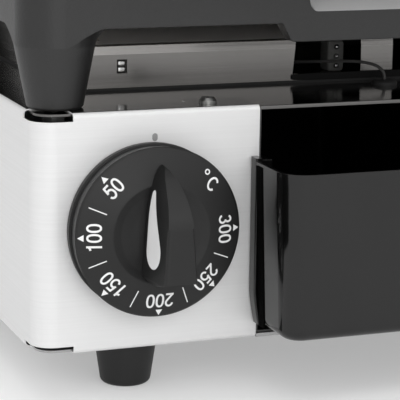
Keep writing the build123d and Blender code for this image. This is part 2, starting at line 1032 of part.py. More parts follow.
def grip_blank():
    """Drafted grip with a pointed nose, before the inlay pocket is cut."""
    wide = grip_half_width
    with BuildSketch(Plane.YZ) as side:
        with BuildLine():
            Line((-grip_rear - 1, 0), (-grip_rear_top, grip_height))
            Line((-grip_rear_top, grip_height), (grip_waist_up, grip_height - 1))
            Spline(
                (grip_waist_up, grip_height - 1),
                (grip_nose - 12, grip_shoulder),
                (grip_nose, grip_nose_height),
                tangents=[(1, -0.15), (0.4, -1)],
            )
            Line((grip_nose, grip_nose_height), (grip_nose, 0))
            Line((grip_nose, 0), (-grip_rear - 1, 0))
        make_face()
    sections = [grip_section(dial_rise - dish_depth), grip_section(grip_height + 2)]
    prism = loft(sections, ruled=True)
    ridge = extrude(side.sketch, wide + 2, both=True)
    grip = prism & ridge
    top = grip.faces().sort_by(Axis.Z)[-1]
    return fillet(top.edges().filter_by(lambda e: abs(e.center().X) > 1), grip_round)


def inlay_prism():
    """Teardrop prism that cuts the left flank of the grip."""
    tip = Pos(inlay_high, inlay_tip_height) * Circle(inlay_tip_radius)
    root = Pos(inlay_low, inlay_height) * Circle(inlay_radius)
    drop = make_hull((tip + root).edges())
    prism = extrude(Plane.YZ * drop, -(grip_half_width + 2))
    core = Pos(inlay_thickness, 0, 0) * grip_blank()
    return prism - core


def dial_grip():
    """Grip bar of the dial, seated on the dish."""
    grip = grip_blank() - inlay_prism()
    return dial_frame() * grip - dial_disc()


def grip_inlay():
    """Light inlay, flush with the left flank of the grip."""
    return dial_frame() * (grip_blank() & inlay_prism())


def dial_shaft():
    """Thermostat spindle from the case into the hub of the dial."""
    length = bushing_length + 8 - shaft_tip
    return rod(dial_x, shaft_tip, dial_z, shaft_radius, length, "y")


def pilot_lamps():
    """Bezels with their bodies behind the right front panel, and the lenses."""
    x = -left_side - lamp_side
    bezels = []
    lenses = []
    for z in lamp_levels():
        bezel = turned(
            [
                (0, -lamp_body_length),
                (lamp_body_radius, -lamp_body_length),
                (lamp_body_radius, 0),
                (lamp_bezel_radius, 0),
                (lamp_bezel_radius - 0.8, lamp_bezel_height),
                (lens_radius + 0.8, lamp_bezel_height),
                (lens_radius, lamp_bezel_height - 1.2),
                (0, lamp_bezel_height - 1.2),
            ],
            0,
            0,
            0,
        )
        seat = Pos(x, 0, z) * Rot(90, 0, 0)
        bezels.append(seat * bezel)
        low = lamp_bezel_height - 1.2
        lens = turned(
            [
                (0, low),
                (lens_radius - 0.1, low),
                (lens_radius - 0.1, low + lens_height * 0.6),
                (lens_radius * 0.7, low + lens_height),
                (0, low + lens_height),
            ],
            0,
            0,
            0,
        )
        lenses.append(seat * lens)
    return together(bezels), together(lenses)


def tray_shape(wide, front, back, front_round, back_round, wall):
    """Tapered block with rounded corners: one half of the tray, less a wall."""
    slope = tan(radians(tray_draft))
    low = tray_low + wall
    inset = wall + (tray_high - low) * slope
    plan = Pos(0, (front + back) / 2) * Rectangle(wide - 2 * inset, back - front - 2 * inset)
    plan = fillet(plan.vertices().sort_by(Axis.Y)[:2], max(front_round - inset, 1))
    plan = fillet(plan.vertices().sort_by(Axis.Y)[-2:], max(back_round - inset, 1))
    tall = tray_high - low + (1 if wall else 0)
    shape = extrude(Pos(0, 0, low) * plan, tall, taper=-tray_draft)
    return fillet(shape.faces().sort_by(Axis.Z)[0].edges(), tray_base_round - wall)


def tray_volume(wall):
    """Wide front and narrower body of the tray, joined, less a wall all round."""
    front = -tray_overhang
    back = tray_length - tray_overhang
    face = tray_shape(tray_front_width, front, -tray_gap, tray_corner, 5, wall)
    body = tray_shape(tray_body_width, front + tray_corner / 2, back, 8, 8, wall)
    return face + body


def drip_tray():
    """Deep tray: wide rounded front, narrower body that runs back into the bay."""
    return tray_volume(0) - tray_volume(tray_wall)


def tray_bay():
    """Folded liner that keeps the fat away from the wiring beside the tray."""
    half = opening_width / 2 - 0.4
    y0 = 1.6
    y1 = tray_length - tray_overhang + 6
    wall = plate_sheet
    high = deck_bottom
    bay = block(-half, half, y0, y1, base_top, high)
    bay -= block(-half + wall, half - wall, y0 - 1, y1 - wall, base_top + wall, high + 1)
    return bay


def tray_runners():
    """Two glides on the floor of the bay that carry the tray."""
    low = base_top + plate_sheet
    high = tray_low - runner_gap
    x = tray_body_width / 2 - tray_base_round - 4 - runner_width
    y0 = 8
    y1 = tray_length - tray_overhang - 6
    bar = block(x, x + runner_width, y0, y1, low, high)
    bar = chamfer(bar.faces().sort_by(Axis.Z)[-1].edges().filter_by(Axis.Y), 1)
    return together([bar, mirror(bar, about=Plane.YZ)])


def terminal_block():
    """Ceramic terminal block on the base plate, beside the gland."""
    half = terminal_width / 2
    deep = terminal_depth / 2
    middle = terminal_height / 2
    y = depth - terminal_back_gap
    body = block(
        gland_side - half,
        gland_side + half,
        y - deep,
        y + deep,
        base_top,
        base_top + terminal_height,
    )
    for i in (-1, 0, 1):
        x = gland_side + i * terminal_width / 3
        body -= rod(x, y, base_top + middle, terminal_width / 18, terminal_height)
        wire = terminal_width / 24
        body -= rod(x, y - deep - 1, base_top + middle - wire, wire, terminal_depth + 2, "y")
    return body


def cable_gland():
    """Gland through the back sheet, with a rounded strain-relief nose."""
    z = foot_height + gland_level
    inside = depth - sheet - plate_sheet - gland_nut_height - 3
    body = turned(
        [
            (gland_bore, inside - depth),
            (gland_radius, inside - depth),
            (gland_radius, 0),
            (gland_flange_radius, 0),
            (gland_flange_radius, gland_flange),
            (gland_radius, gland_flange + 1),
            (gland_radius - 1, gland_length - 2),
            (gland_radius - 3, gland_length),
            (gland_bore, gland_length),
        ],
        gland_side,
        depth - sheet,
        z,
        "y",
    )
    return body


def gland_nut():
    """Nut of the gland behind the back sheet."""
    z = foot_height + gland_level
    y1 = depth - sheet - plate_sheet
    nut = hexagon(gland_side, y1 - gland_nut_height, z, gland_nut_width, gland_nut_height, "y")
    return nut - rod(gland_side, y1 - 10, z, gland_radius + 0.02, 20, "y")


def bracket_screw_places():
    """X and Y of the screws that hold the hinge brackets to the deck."""
    x = bracket_side - bracket_foot * 0.5
    return [
        (side * x, hinge_back + offset_y)
        for side in (-1, 1)
        for offset_y in (
            -hinge_cover_radius + bracket_screw_inset,
            hinge_cover_radius - bracket_screw_inset,
        )
    ]


def hinge_arch(radius, low):
    """Arch in the YZ plane: straight flanks below a half circle round the hinge."""
    tall = hinge_level - low
    flanks = Pos(hinge_back, (low + hinge_level) / 2) * Rectangle(2 * radius, tall)
    return Plane.YZ * (flanks + Pos(hinge_back, hinge_level) * Circle(radius))


def hinge_bracket(side):
    """Upright bearing plate with a round head and a foot flange on the deck."""
    upright = extrude(hinge_arch(hinge_cover_radius, housing_top), bracket_thickness)
    upright = Pos(bracket_side, 0, 0) * upright
    half = hinge_cover_radius - hinge_cover_wall - running_gap
    base = block(
        bracket_side - bracket_foot,
        bracket_side + 0.5,
        hinge_back - half,
        hinge_back + half,
        housing_top,
        housing_top + bracket_base,
    )
    bracket = upright + base
    bracket -= rod(
        bracket_side - 1,
        hinge_back,
        hinge_level,
        hinge_shaft_radius + bush_wall,
        bracket_thickness + 2,
        "x",
    )
    for x, y in bracket_screw_places():
        bracket -= rod(
            abs(x), y, housing_top - 1, screw_radius + screw_clearance, bracket_base + 2
        )
    return bracket if side > 0 else mirror(bracket, about=Plane.YZ)


def bracket_screws():
    """Screws through the bracket feet into the deck."""
    group = [
        pan_screw(x, y, housing_top + bracket_base, screw_length)
        for x, y in bracket_screw_places()
    ]
    return together(group)


def hinge_bush(side):
    """Flanged bush in a hinge bracket."""
    bore = hinge_shaft_radius + shaft_clearance
    outline = [
        (bore, 0),
        (hinge_shaft_radius + bush_wall, 0),
        (hinge_shaft_radius + bush_wall, bracket_thickness),
        (bush_flange_radius, bracket_thickness),
        (bush_flange_radius, bracket_thickness + bush_flange),
        (bore, bracket_thickness + bush_flange),
    ]
    bush = turned(outline, bracket_side, hinge_back, hinge_level, "x")
    return bush if side > 0 else mirror(bush, about=Plane.YZ)


def hinge_spring(side):
    """Counterbalance torsion spring round the hinge shaft, close wound."""
    pitch = spring_wire
    inner = spring_radius - spring_wire
    start = bracket_side - running_gap - spring_coils * pitch
    outline = [(inner, 0)]
    for i in range(spring_coils):
        outline.append((spring_radius - spring_wire * 0.5, i * pitch))
        outline.append((spring_radius, (i + 0.25) * pitch))
        outline.append((spring_radius, (i + 0.75) * pitch))
    outline.append((spring_radius - spring_wire * 0.5, spring_coils * pitch))
    outline.append((inner, spring_coils * pitch))
    spring = turned(outline, start, hinge_back, hinge_level, "x")
    low = deck_top + running_gap
    tail = rod(
        start + pitch / 2,
        hinge_back + spring_radius - spring_wire * 0.4,
        low,
        spring_wire / 2,
        hinge_level - low,
    )
    spring += tail
    return spring if side > 0 else mirror(spring, about=Plane.YZ)


def hinge_cover():
    """Arched sheet cover between the brackets, over the hinge shaft and springs."""
    half = bracket_side - running_gap
    shell = extrude(hinge_arch(hinge_cover_radius, housing_top), half, both=True)
    inner = hinge_arch(hinge_cover_radius - hinge_cover_wall, housing_top - 1)
    return shell - extrude(inner, half + 1, both=True)


def hinge_shaft():
    """Steel shaft through both brackets and arm hubs."""
    half = hinge_shaft_half
    shaft = rod(-half, hinge_back, hinge_level, hinge_shaft_radius, 2 * half, "x")
    return chamfer(shaft.edges().filter_by(GeomType.CIRCLE), 1)


def arm_hub(side):
    """Hub clamped on the shaft, with the socket that takes the end of the arm."""
    x0 = arm_side - hub_width / 2
    hub = rod(x0, hinge_back, hinge_level, hub_radius, hub_width, "x")
    hub = fillet(hub.edges().filter_by(GeomType.CIRCLE), 1.5)
    neck = rod(
        arm_side,
        hinge_back - hub_radius - 14,
        hinge_level,
        arm_radius - arm_wall - 0.02,
        hub_radius + 8,
        "y",
    )
    hub = hub + neck
    hub -= rod(x0 - 1, hinge_back, hinge_level, hinge_shaft_radius + 0.02, hub_width + 2, "x")
    return hub if side > 0 else mirror(hub, about=Plane.YZ)


def arm_path():
    """Centre line of the arm: forward, across the front and back again."""
    end = hinge_back - hub_radius - 0.1
    return FilletPolyline(
        (-arm_side, end, hinge_level),
        (-arm_side, -arm_front, hinge_level),
        (arm_side, -arm_front, hinge_level),
        (arm_side, end, hinge_level),
        radius=arm_bend,
    )


def arm_tube():
    """Bent stainless tube that carries the upper plate, open at both ends."""
    path = arm_path()
    start = Plane(path @ 0, z_dir=path % 0)
    ring = Circle(arm_radius) - Circle(arm_radius - arm_wall)
    tube = sweep(start * ring, path=path)
    bore = pivot_bolt_radius + 0.02
    cut = rod(-arm_side - 20, pivot_back, hinge_level, bore, 2 * arm_side + 40, "x")
    return tube - cut


def handle_grip():
    """Moulded grip on the front bar of the arm."""
    half = grip_bar_length / 2
    radius = grip_bar_radius
    bore = arm_radius + 0.02
    outline = [
        (bore, 0),
        (radius - 2.5, 0),
        (radius - 0.8, 1.2),
        (radius, 3.5),
        (radius - 1.2, half * 0.5),
        (radius - 1.6, half),
        (radius - 1.2, half * 1.5),
        (radius, 2 * half - 3.5),
        (radius - 0.8, 2 * half - 1.2),
        (radius - 2.5, 2 * half),
        (bore, 2 * half),
    ]
    return turned(outline, -half, -arm_front, hinge_level, "x")


def pivot_bolt(side):
    """Shouldered bolt through the arm into the side of the upper plate."""
    inner = upper_width / 2 - 14
    outer = arm_side + arm_radius
    bolt = rod(inner, pivot_back, hinge_level, pivot_bolt_radius, outer - inner, "x")
    head = rod(outer, pivot_back, hinge_level, pivot_head_radius, pivot_head_height, "x")
    head = chamfer(head.edges().filter_by(GeomType.CIRCLE).sort_by(Axis.X)[-1], 1.2)
    bolt = bolt + head
    return bolt if side > 0 else mirror(bolt, about=Plane.YZ)


def pivot_bush(side):
    """Plain bush in the side of the upper plate."""
    length = 12.0
    x0 = upper_width / 2 - length
    bush = rod(x0, pivot_back, hinge_level, pivot_bolt_radius + bush_wall, length + 1.2, "x")
    bush -= rod(
        x0 - 1, pivot_back, hinge_level, pivot_bolt_radius + shaft_clearance, length + 4, "x"
    )
    return bush if side > 0 else mirror(bush, about=Plane.YZ)


def upper_outline(inset, z0, z1, taper=0):
    """Rounded prism inside the outline of the upper casting."""
    return slab(
        upper_width - 2 * inset,
        upper_depth - 2 * inset,
        upper_corner - inset * 0.8,
        upper_middle,
        z0,
        z1,
        taper,
    )


def upper_grill_plate():
    """Cast upper plate: ribs below, hollow above, bosses for the pivot bolts."""
    root = upper_bottom + rib_height
    high = upper_bottom + upper_height
    body = upper_outline(0, root, high)
    ribs = ribbed_block(
        upper_width - 24,
        upper_depth - 24,
        upper_middle,
        root + 1,
        upper_bottom,
        root + 3,
        up=False,
    )
    body = body + ribs
    body -= upper_outline(upper_wall, root + upper_floor, high + 1)
    boss = rod(
        upper_width / 2 - 16, pivot_back, hinge_level, pivot_boss_radius, 16, "x"
    )
    seat = block(
        upper_width / 2 - 16,
        upper_width / 2,
        pivot_back - pivot_boss_radius,
        pivot_back + pivot_boss_radius,
        root + 4,
        hinge_level,
    )
    boss = (boss + seat) & upper_outline(0, root, high)
    body += both_sides(boss)
    hole = rod(
        upper_width / 2 - 14.5,
        pivot_back,
        hinge_level,
        pivot_bolt_radius + bush_wall + 0.01,
        20,
        "x",
    )
    body -= both_sides(hole)
    for x, y in cover_nut_places():
        body += rod(x, y, root + 4, stud_radius, high + upper_cover_height - root - 2)
    return body


def cover_nut_places():
    """X and Y of the four studs that hold the upper cover."""
    x = upper_width / 2 - cover_nut_inset
    y = upper_depth / 2 - cover_nut_inset
    return [(i * x, upper_middle + j * y) for i in (-1, 1) for j in (-1, 1)]


def upper_heater():
    """Heater that lies on the back of the upper casting."""
    root = upper_bottom + rib_height + upper_floor
    return heater_loop(
        upper_width - 2 * upper_heater_side_gap,
        upper_depth - 2 * upper_heater_end_gap,
        upper_middle,
        root + heater_radius,
        heater_radius,
    )


def upper_insulation():
    """Mineral board over the upper heater."""
    low = upper_bottom + rib_height + upper_floor + 2 * heater_radius
    board = upper_outline(upper_wall + 1, low, low + insulation_thickness)
    clear = block(
        upper_width / 2 - 17, upper_width / 2, pivot_back - 12, pivot_back + 12, low - 1, low + 20
    )
    board -= both_sides(clear)
    for x, y in cover_nut_places():
        board -= rod(x, y, low - 1, stud_radius + 0.3, insulation_thickness + 2)
    return board


def upper_cover():
    """Pressed steel cover over the upper casting, with bevelled edges."""
    low = upper_bottom + upper_height
    high = low + upper_cover_height
    body = upper_outline(upper_cover_inset, low, high)
    body = chamfer(body.faces().sort_by(Axis.Z)[-1].edges(), upper_cover_bevel)
    openings = [body.faces().sort_by(Axis.Z)[0]]
    body = offset(body, -plate_sheet, openings=openings)
    for x, y in cover_nut_places():
        body -= rod(x, y, low, stud_radius + 0.02, 40)
    return body


def cover_nuts():
    """Four domed nuts on the studs of the upper cover."""
    low = upper_bottom + upper_height + upper_cover_height
    group = []
    for x, y in cover_nut_places():
        nut = hexagon(x, y, low, 2 * cover_nut_radius * 0.9, cover_nut_height * 0.55)
        dome = turned(
            [
                (0, 0),
                (cover_nut_radius * 0.85, 0),
                (cover_nut_radius * 0.85, cover_nut_height * 0.6),
                (cover_nut_radius * 0.45, cover_nut_height),
                (0, cover_nut_height),
            ],
            x,
            y,
            low,
        )
        bore = rod(x, y, low - 1, stud_radius + 0.02, 3.2)
        group.append(nut + dome - bore)
    return together(group)


def build_pieces():
    """All pieces of the grill by name, in the working frame."""
    bezels, lenses = pilot_lamps()
    pieces = {
        "housing_left": housing_left(),
        "housing_right": housing_right(),
        "rear_panel": rear_panel(),
        "rear_screws": rear_screws(),
        "base_plate": base_plate(),
        "deck_plate": deck_plate(),
        "deck_screws": deck_screws(),
        "foot_screws": foot_screws(),
        "foot_screw_nuts": foot_screw_nuts(),
        "lower_grill_plate": lower_grill_plate(),
        "plate_bolts": plate_bolts(),
        "lower_heater": lower_heater(),
        "lower_insulation": lower_insulation(),
        "heater_cover": heater_cover(),
        "wiring_box": wiring_box(),
        "box_gasket": box_gasket(),
        "lead_grommet": lead_grommet(),
        "lead_sleeve": lead_sleeve(),
        "thermostat_body": thermostat_body(),
        "thermostat_nut": thermostat_nut(),
        "capillary_bulb": capillary_bulb(),
        "lamp_bezels": bezels,
        "lamp_lenses": lenses,
        "terminal_block": terminal_block(),
        "cable_gland": cable_gland(),
        "gland_nut": gland_nut(),
        "tray_bay": tray_bay(),
        "tray_runners": tray_runners(),
        "drip_tray": drip_tray(),
        "dial_disc": dial_disc(),
        "dial_grip": dial_grip(),
        "grip_inlay": grip_inlay(),
        "dial_shaft": dial_shaft(),
        "bracket_screws": bracket_screws(),
        "hinge_cover": hinge_cover(),
        "hinge_shaft": hinge_shaft(),
        "arm_tube": arm_tube(),
        "handle_grip": handle_grip(),
        "upper_grill_plate": upper_grill_plate(),
        "upper_heater": upper_heater(),
        "upper_insulation": upper_insulation(),
        "upper_cover": upper_cover(),
        "cover_nuts": cover_nuts(),
    }
    for name, (x, y) in foot_places().items():
        pieces[name] = foot(x, y)
    for side, word in ((-1, "left"), (1, "right")):
        pieces["hinge_bracket_" + word] = hinge_bracket(side)
        pieces["hinge_bush_" + word] = hinge_bush(side)
        pieces["hinge_spring_" + word] = hinge_spring(side)
        pieces["arm_hub_" + word] = arm_hub(side)
        pieces["pivot_bolt_" + word] = pivot_bolt(side)
        pieces["pivot_bush_" + word] = pivot_bush(side)
    return pieces


def main():
    """Builds every piece, centres the grill on Y and writes one file per piece."""
    pieces = build_pieces()
    boxes = [piece.bounding_box() for piece in pieces.values()]
    front = min(box.min.Y for box in boxes)
    back = max(box.max.Y for box in boxes)
    shift = Pos(0, -(front + back) / 2, 0)
    os.makedirs("parts", exist_ok=True)
    for name, piece in pieces.items():
        export_step(shift * piece, os.path.join("parts", name + ".step"))


if __name__ == "__main__":
    main()
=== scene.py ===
"""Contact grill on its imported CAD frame: finishes, printed dial scale, studio and camera.

Lengths are metres in the row frame: X across, Y towards the hinge, Z up from the worktop.
"""

import json
import logging
from abc import ABC, abstractmethod
from dataclasses import dataclass, field
from enum import Enum
from typing import Any

import bpy
import numpy as np
from mathutils import Matrix, Vector


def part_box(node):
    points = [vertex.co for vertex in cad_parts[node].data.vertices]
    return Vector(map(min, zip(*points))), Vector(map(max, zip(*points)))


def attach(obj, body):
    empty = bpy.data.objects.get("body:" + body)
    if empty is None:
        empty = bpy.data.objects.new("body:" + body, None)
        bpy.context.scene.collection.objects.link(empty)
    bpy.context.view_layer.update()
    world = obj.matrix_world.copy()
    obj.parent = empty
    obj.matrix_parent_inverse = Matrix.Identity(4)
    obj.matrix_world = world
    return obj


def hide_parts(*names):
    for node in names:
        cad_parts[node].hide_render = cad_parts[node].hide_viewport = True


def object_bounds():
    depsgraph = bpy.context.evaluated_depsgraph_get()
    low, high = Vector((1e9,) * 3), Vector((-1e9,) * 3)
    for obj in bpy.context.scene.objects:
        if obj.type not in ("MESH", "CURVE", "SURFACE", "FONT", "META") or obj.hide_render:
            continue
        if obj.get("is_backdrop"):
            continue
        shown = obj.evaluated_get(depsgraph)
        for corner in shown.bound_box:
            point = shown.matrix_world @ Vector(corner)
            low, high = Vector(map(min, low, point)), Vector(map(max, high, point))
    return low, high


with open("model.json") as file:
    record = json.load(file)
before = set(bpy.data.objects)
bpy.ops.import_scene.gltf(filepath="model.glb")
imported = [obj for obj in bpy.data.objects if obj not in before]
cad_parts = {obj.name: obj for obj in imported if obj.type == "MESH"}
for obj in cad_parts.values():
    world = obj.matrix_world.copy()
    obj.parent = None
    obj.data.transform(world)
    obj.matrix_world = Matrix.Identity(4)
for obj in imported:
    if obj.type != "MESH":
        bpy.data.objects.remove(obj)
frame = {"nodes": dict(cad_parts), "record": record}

MM = 0.001
NODES = frame["nodes"]
SLOTS = {part["node"]: part["material_slot"] for part in frame["record"]["subparts"]}
LOG = logging.getLogger("contact_grill")


class Wire:
    """One output socket of a node; Python's operators on it add Math nodes."""

    def __init__(self, paint: "Paint", socket: bpy.types.NodeSocket) -> None:
        """Keep the paint that the socket belongs to.

        Args:
            paint: the material under work.
            socket: the output that later nodes read.
        """
        self.paint = paint
        self.socket = socket

    def _math(
        self, operation: str, first: "Wire | float", second: "Wire | float"
    ) -> "Wire":
        """Return the result of one new Math node."""
        settings = {"operation": operation}
        return self.paint.node("ShaderNodeMath", settings, {0: first, 1: second})

    def __add__(self, other: "Wire | float") -> "Wire":
        """Return self + other."""
        return self._math("ADD", self, other)

    def __radd__(self, other: "Wire | float") -> "Wire":
        """Return other + self."""
        return self._math("ADD", other, self)

    def __sub__(self, other: "Wire | float") -> "Wire":
        """Return self - other."""
        return self._math("SUBTRACT", self, other)

    def __rsub__(self, other: "Wire | float") -> "Wire":
        """Return other - self."""
        return self._math("SUBTRACT", other, self)

    def __mul__(self, other: "Wire | float") -> "Wire":
        """Return self * other."""
        return self._math("MULTIPLY", self, other)

    def __rmul__(self, other: "Wire | float") -> "Wire":
        """Return other * self."""
        return self._math("MULTIPLY", other, self)


class Paint:
    """A procedural material under construction."""

    def __init__(self, name: str) -> None:
        """Start an empty node tree.

        Args:
            name: the material's name.
        """
        self.material = bpy.data.materials.new(name)
        self.material.use_nodes = True
        self.tree = self.material.node_tree
        self.tree.nodes.clear()

    def node(
        self,
        kind: str,
        settings: dict[str, Any] | None = None,
        sockets: dict[str | int, Any] | None = None,
        output: str | int = 0,
    ) -> Wire:
        """Add any node.

        Args:
            kind: the node's type.
            settings: its properties, set first.
            sockets: values or wires for its inputs, by name or number.
            output: the output that is wanted.

        Returns:
            The wire from that output.
        """
        made = self.tree.nodes.new(kind)
        for key, value in (settings or {}).items():
            setattr(made, key, value)
        for key, value in (sockets or {}).items():
            if isinstance(value, Wire):
                self.tree.links.new(value.socket, made.inputs[key])
            else:
                made.inputs[key].default_value = value
        return Wire(self, made.outputs[output])

    def place(self, stretch: tuple[float, float, float] = (1, 1, 1)) -> Wire:
        """Return object coordinates, stretched along each axis."""
        where = self.node("ShaderNodeTexCoord", output="Object")
        return self.node("ShaderNodeMapping", None, {"Vector": where, "Scale": stretch})

    def noise(
        self, where: Wire, scale: float, detail: float = 2, roughness: float = 0.5
    ) -> Wire:
        """Return fractal noise from 0 to 1.

        Args:
            where: the coordinates.
            scale: lumps per metre of those coordinates.
            detail: octaves.
            roughness: share of the finer octaves.

        Returns:
            The noise value.
        """
        sockets = {
            "Vector": where,
            "Scale": scale,
            "Detail": detail,
            "Roughness": roughness,
        }
        return self.node("ShaderNodeTexNoise", None, sockets)

    def spread(self, value: Wire, span: tuple[float, float], onto: tuple[float, float]) -> Wire:
        """Return value carried linearly from one span onto another and held at its ends."""
        sockets = {"Value": value, 1: span[0], 2: span[1], 3: onto[0], 4: onto[1]}
        return self.node("ShaderNodeMapRange", {"clamp": True}, sockets)

    def facing_up(self, least: float, most: float) -> Wire:
        """Mask the faces that look upwards when the piece is at rest.

        Args:
            least: cosine of the angle to the vertical at which the mask is 0.
            most: cosine at which it reaches 1.

        Returns:
            The mask.
        """
        normal = self.node("ShaderNodeTexCoord", output="Normal")
        upward = self.node("ShaderNodeSeparateXYZ", None, {0: normal}, output="Z")
        return self.spread(upward, (least, most), (0.0, 1.0))

    def mix(self, factor: Wire | float, first: Any, second: Any) -> Wire:
        """Return a colour between two colours or colour wires."""
        sockets = {0: factor, 6: first, 7: second}
        return self.node("ShaderNodeMix", {"data_type": "RGBA"}, sockets, output=2)

    def bump(self, height: Wire, strength: float, distance: float, rounded: float = 0) -> Wire:
        """Return a normal tilted by a height.

        Args:
            height: relief from 0 to 1.
            strength: share of the effect.
            distance: depth of the relief in metres.
            rounded: radius by which edges are softened first, 0 for none.

        Returns:
            The normal.
        """
        sockets = {"Height": height, "Strength": strength, "Distance": distance}
        if rounded:
            soft = self.node("ShaderNodeBevel", {"samples": 4}, {"Radius": rounded})
            sockets["Normal"] = soft
        return self.node("ShaderNodeBump", None, sockets)

    def surface(self, sockets: dict[str, Any]) -> bpy.types.Material:
        """Close the tree with one Principled shader.

        Args:
            sockets: values or wires of the shader's inputs.

        Returns:
            The finished material.
        """
        return self.close(self.node("ShaderNodeBsdfPrincipled", None, sockets))

    def close(self, shader: Wire) -> bpy.types.Material:
        """Join a shader to the output.

        Args:
            shader: the shader's wire.

        Returns:
            The finished material.
        """
        made = self.tree.nodes.new("ShaderNodeOutputMaterial")
        self.tree.links.new(shader.socket, made.inputs["Surface"])
        return self.material


def grey(level: float, warm: float = 0.0) -> tuple[float, float, float, float]:
    """Return a grey colour, slightly warm where asked."""
    return (level * (1 + warm), level, level * (1 - warm), 1.0)


class Finish(ABC):
    """Finish that pieces of the grill wear."""

    @abstractmethod
    def material(self, name: str) -> bpy.types.Material:
        """Make the finish.

        Args:
            name: the material's name.

        Returns:
            The material.
        """


class Grain(Enum):
    """Way in which a sheet was brushed."""

    ALONG_WALLS = (5.0, 5.0, 1400.0)
    ALONG_TOP = (5.0, 1400.0, 60.0)


@dataclass(frozen=True)
class SteelSheet(Finish):
    """Stainless sheet with a directional grain, faint smudges and soft edges.

    Where top is given, the upward faces have their own level, roughness and metal; on
    the wiring box that pale level is painted light. Where a shoulder level is given, faces
    that lean back a little are painted that level, a painted highlight.
    """

    level: float
    roughness: float
    warm: float = 0.0
    grain: Grain = Grain.ALONG_WALLS
    streaks: float = 0.10
    wave: float = 0.0
    edge: float = 0.25
    metal: float = 1.0
    unevenness: float = 0.35
    top: tuple[float, float, float] | None = None
    # Level painted on faces that lean back a little: a painted highlight.
    shoulder_highlight: float = 0.0
    smudge_scale: float = 14.0
    smudge_dulling: float = 0.18
    wave_scale: float = 22.0
    relief: float = 0.4 * MM
    relief_share: float = 0.25
    leaning: tuple[float, float] = (0.07, 0.12)
    upward: tuple[float, float] = (0.93, 0.99)

    def material(self, name: str) -> bpy.types.Material:
        """Return the sheet's material: colour and roughness follow a stretched noise.

        Args:
            name: the slot's or node's name.

        Returns:
            The material.
        """
        paint = Paint(name)
        grain = paint.noise(paint.place(self.grain.value), 1.0, 3, 0.6)
        broad = paint.noise(paint.place(), self.smudge_scale)
        smudge = paint.spread(broad, (0.45, 0.75), (0.0, 1.0))
        tone = paint.spread(grain, (0.3, 0.7), (0.0, 1.0))
        light = grey(min(1.0, self.level * (1 + self.streaks)), self.warm)
        dark = grey(self.level * (1 - self.streaks), self.warm)
        colour = paint.mix(tone, dark, light)
        rough = self.roughness + (grain - 0.5) * (self.roughness * self.unevenness)
        rough = rough + smudge * (self.roughness * self.smudge_dulling)
        wavy = paint.noise(paint.place((1.0, 1.0, 1.6)), self.wave_scale, 1, 0.4)
        height = grain * 0.25 + wavy * self.wave
        metal: Wire | float = self.metal
        # Painted highlight: faces that lean back a little are painted a level of their own.
        if self.shoulder_highlight:
            leaning = paint.facing_up(*self.leaning)
            colour = paint.mix(leaning, colour, grey(self.shoulder_highlight, self.warm))
        if self.top:
            level, roughness, shine = self.top
            up = paint.facing_up(*self.upward)
            colour = paint.mix(up, colour, grey(level, self.warm))
            rough = rough + up * (roughness - rough)
            metal = up * (shine - self.metal) + self.metal
        return paint.surface(
            {
                "Base Color": colour,
                "Metallic": metal,
                "Roughness": rough,
                "Normal": paint.bump(height, self.relief_share, self.relief, self.edge * MM),
            }
        )


@dataclass(frozen=True)
class CastSurface(Finish):
    """Grey-black enamelled casting: orange-peel relief, pits and faint dust.

    The floor of the fat trough is painted paler, a painted reflection of the bright
    backdrop that it mirrors at a grazing view: it is found as the upward faces between two
    heights.
    """

    level: float = 0.010
    roughness: float = 0.42
    shine: float = 0.6
    # Pale level and heights of the painted reflection on the trough floor.
    trough_reflection_level: float = 0.42
    trough_reflection_low: float = 163.0 * MM
    trough_reflection_high: float = 174.5 * MM
    trough_reflection_fade: float = 0.5 * MM
    peel_scale: float = 900.0
    lump_scale: float = 160.0
    pit_scale: float = 700.0
    dust_scale: float = 18.0
    relief: float = 0.35 * MM
    edge: float = 0.8 * MM

    def material(self, name: str) -> bpy.types.Material:
        """Return the casting's material.

        Args:
            name: the slot's or node's name.

        Returns:
            The material.
        """
        paint = Paint(name)
        where = paint.place()
        peel = paint.noise(where, self.peel_scale, 3, 0.6)
        lumps = paint.noise(where, self.lump_scale)
        pits = paint.node(
            "ShaderNodeTexVoronoi", None, {"Vector": where, "Scale": self.pit_scale}
        )
        pit = paint.spread(pits, (0.08, 0.2), (0.0, 1.0))
        dust = paint.noise(where, self.dust_scale, 3, 0.6)
        cloud = paint.spread(dust, (0.35, 0.7), (0.0, 1.0))
        speck = paint.spread(peel, (0.35, 0.7), (0.0, 1.0))
        base = paint.mix(cloud, grey(self.level * 0.8), grey(self.level * 1.15))
        coat = paint.mix(speck * 0.4, base, grey(self.level * 1.6))
        # Painted reflection: the upward faces of the trough floor, between two heights, are
        # painted pale.
        height_up = paint.node("ShaderNodeSeparateXYZ", None, {0: where}, output="Z")
        low, high, fade = self.trough_reflection_low, self.trough_reflection_high, self.trough_reflection_fade
        above = paint.spread(height_up, (low, low + fade), (0.0, 1.0))
        below = paint.spread(height_up, (high, high + fade), (1.0, 0.0))
        trough_reflection = paint.facing_up(0.7, 0.9) * above * below
        colour = paint.mix(trough_reflection, coat, grey(self.trough_reflection_level))
        height = peel * 0.55 + lumps * 0.6 + pit * 0.25
        return paint.surface(
            {
                "Base Color": colour,
                "Roughness": self.roughness + (peel - 0.5) * 0.16 + cloud * 0.05,
                "Specular IOR Level": self.shine,
                "Normal": paint.bump(height, 0.5, self.relief, self.edge),
            }
        )


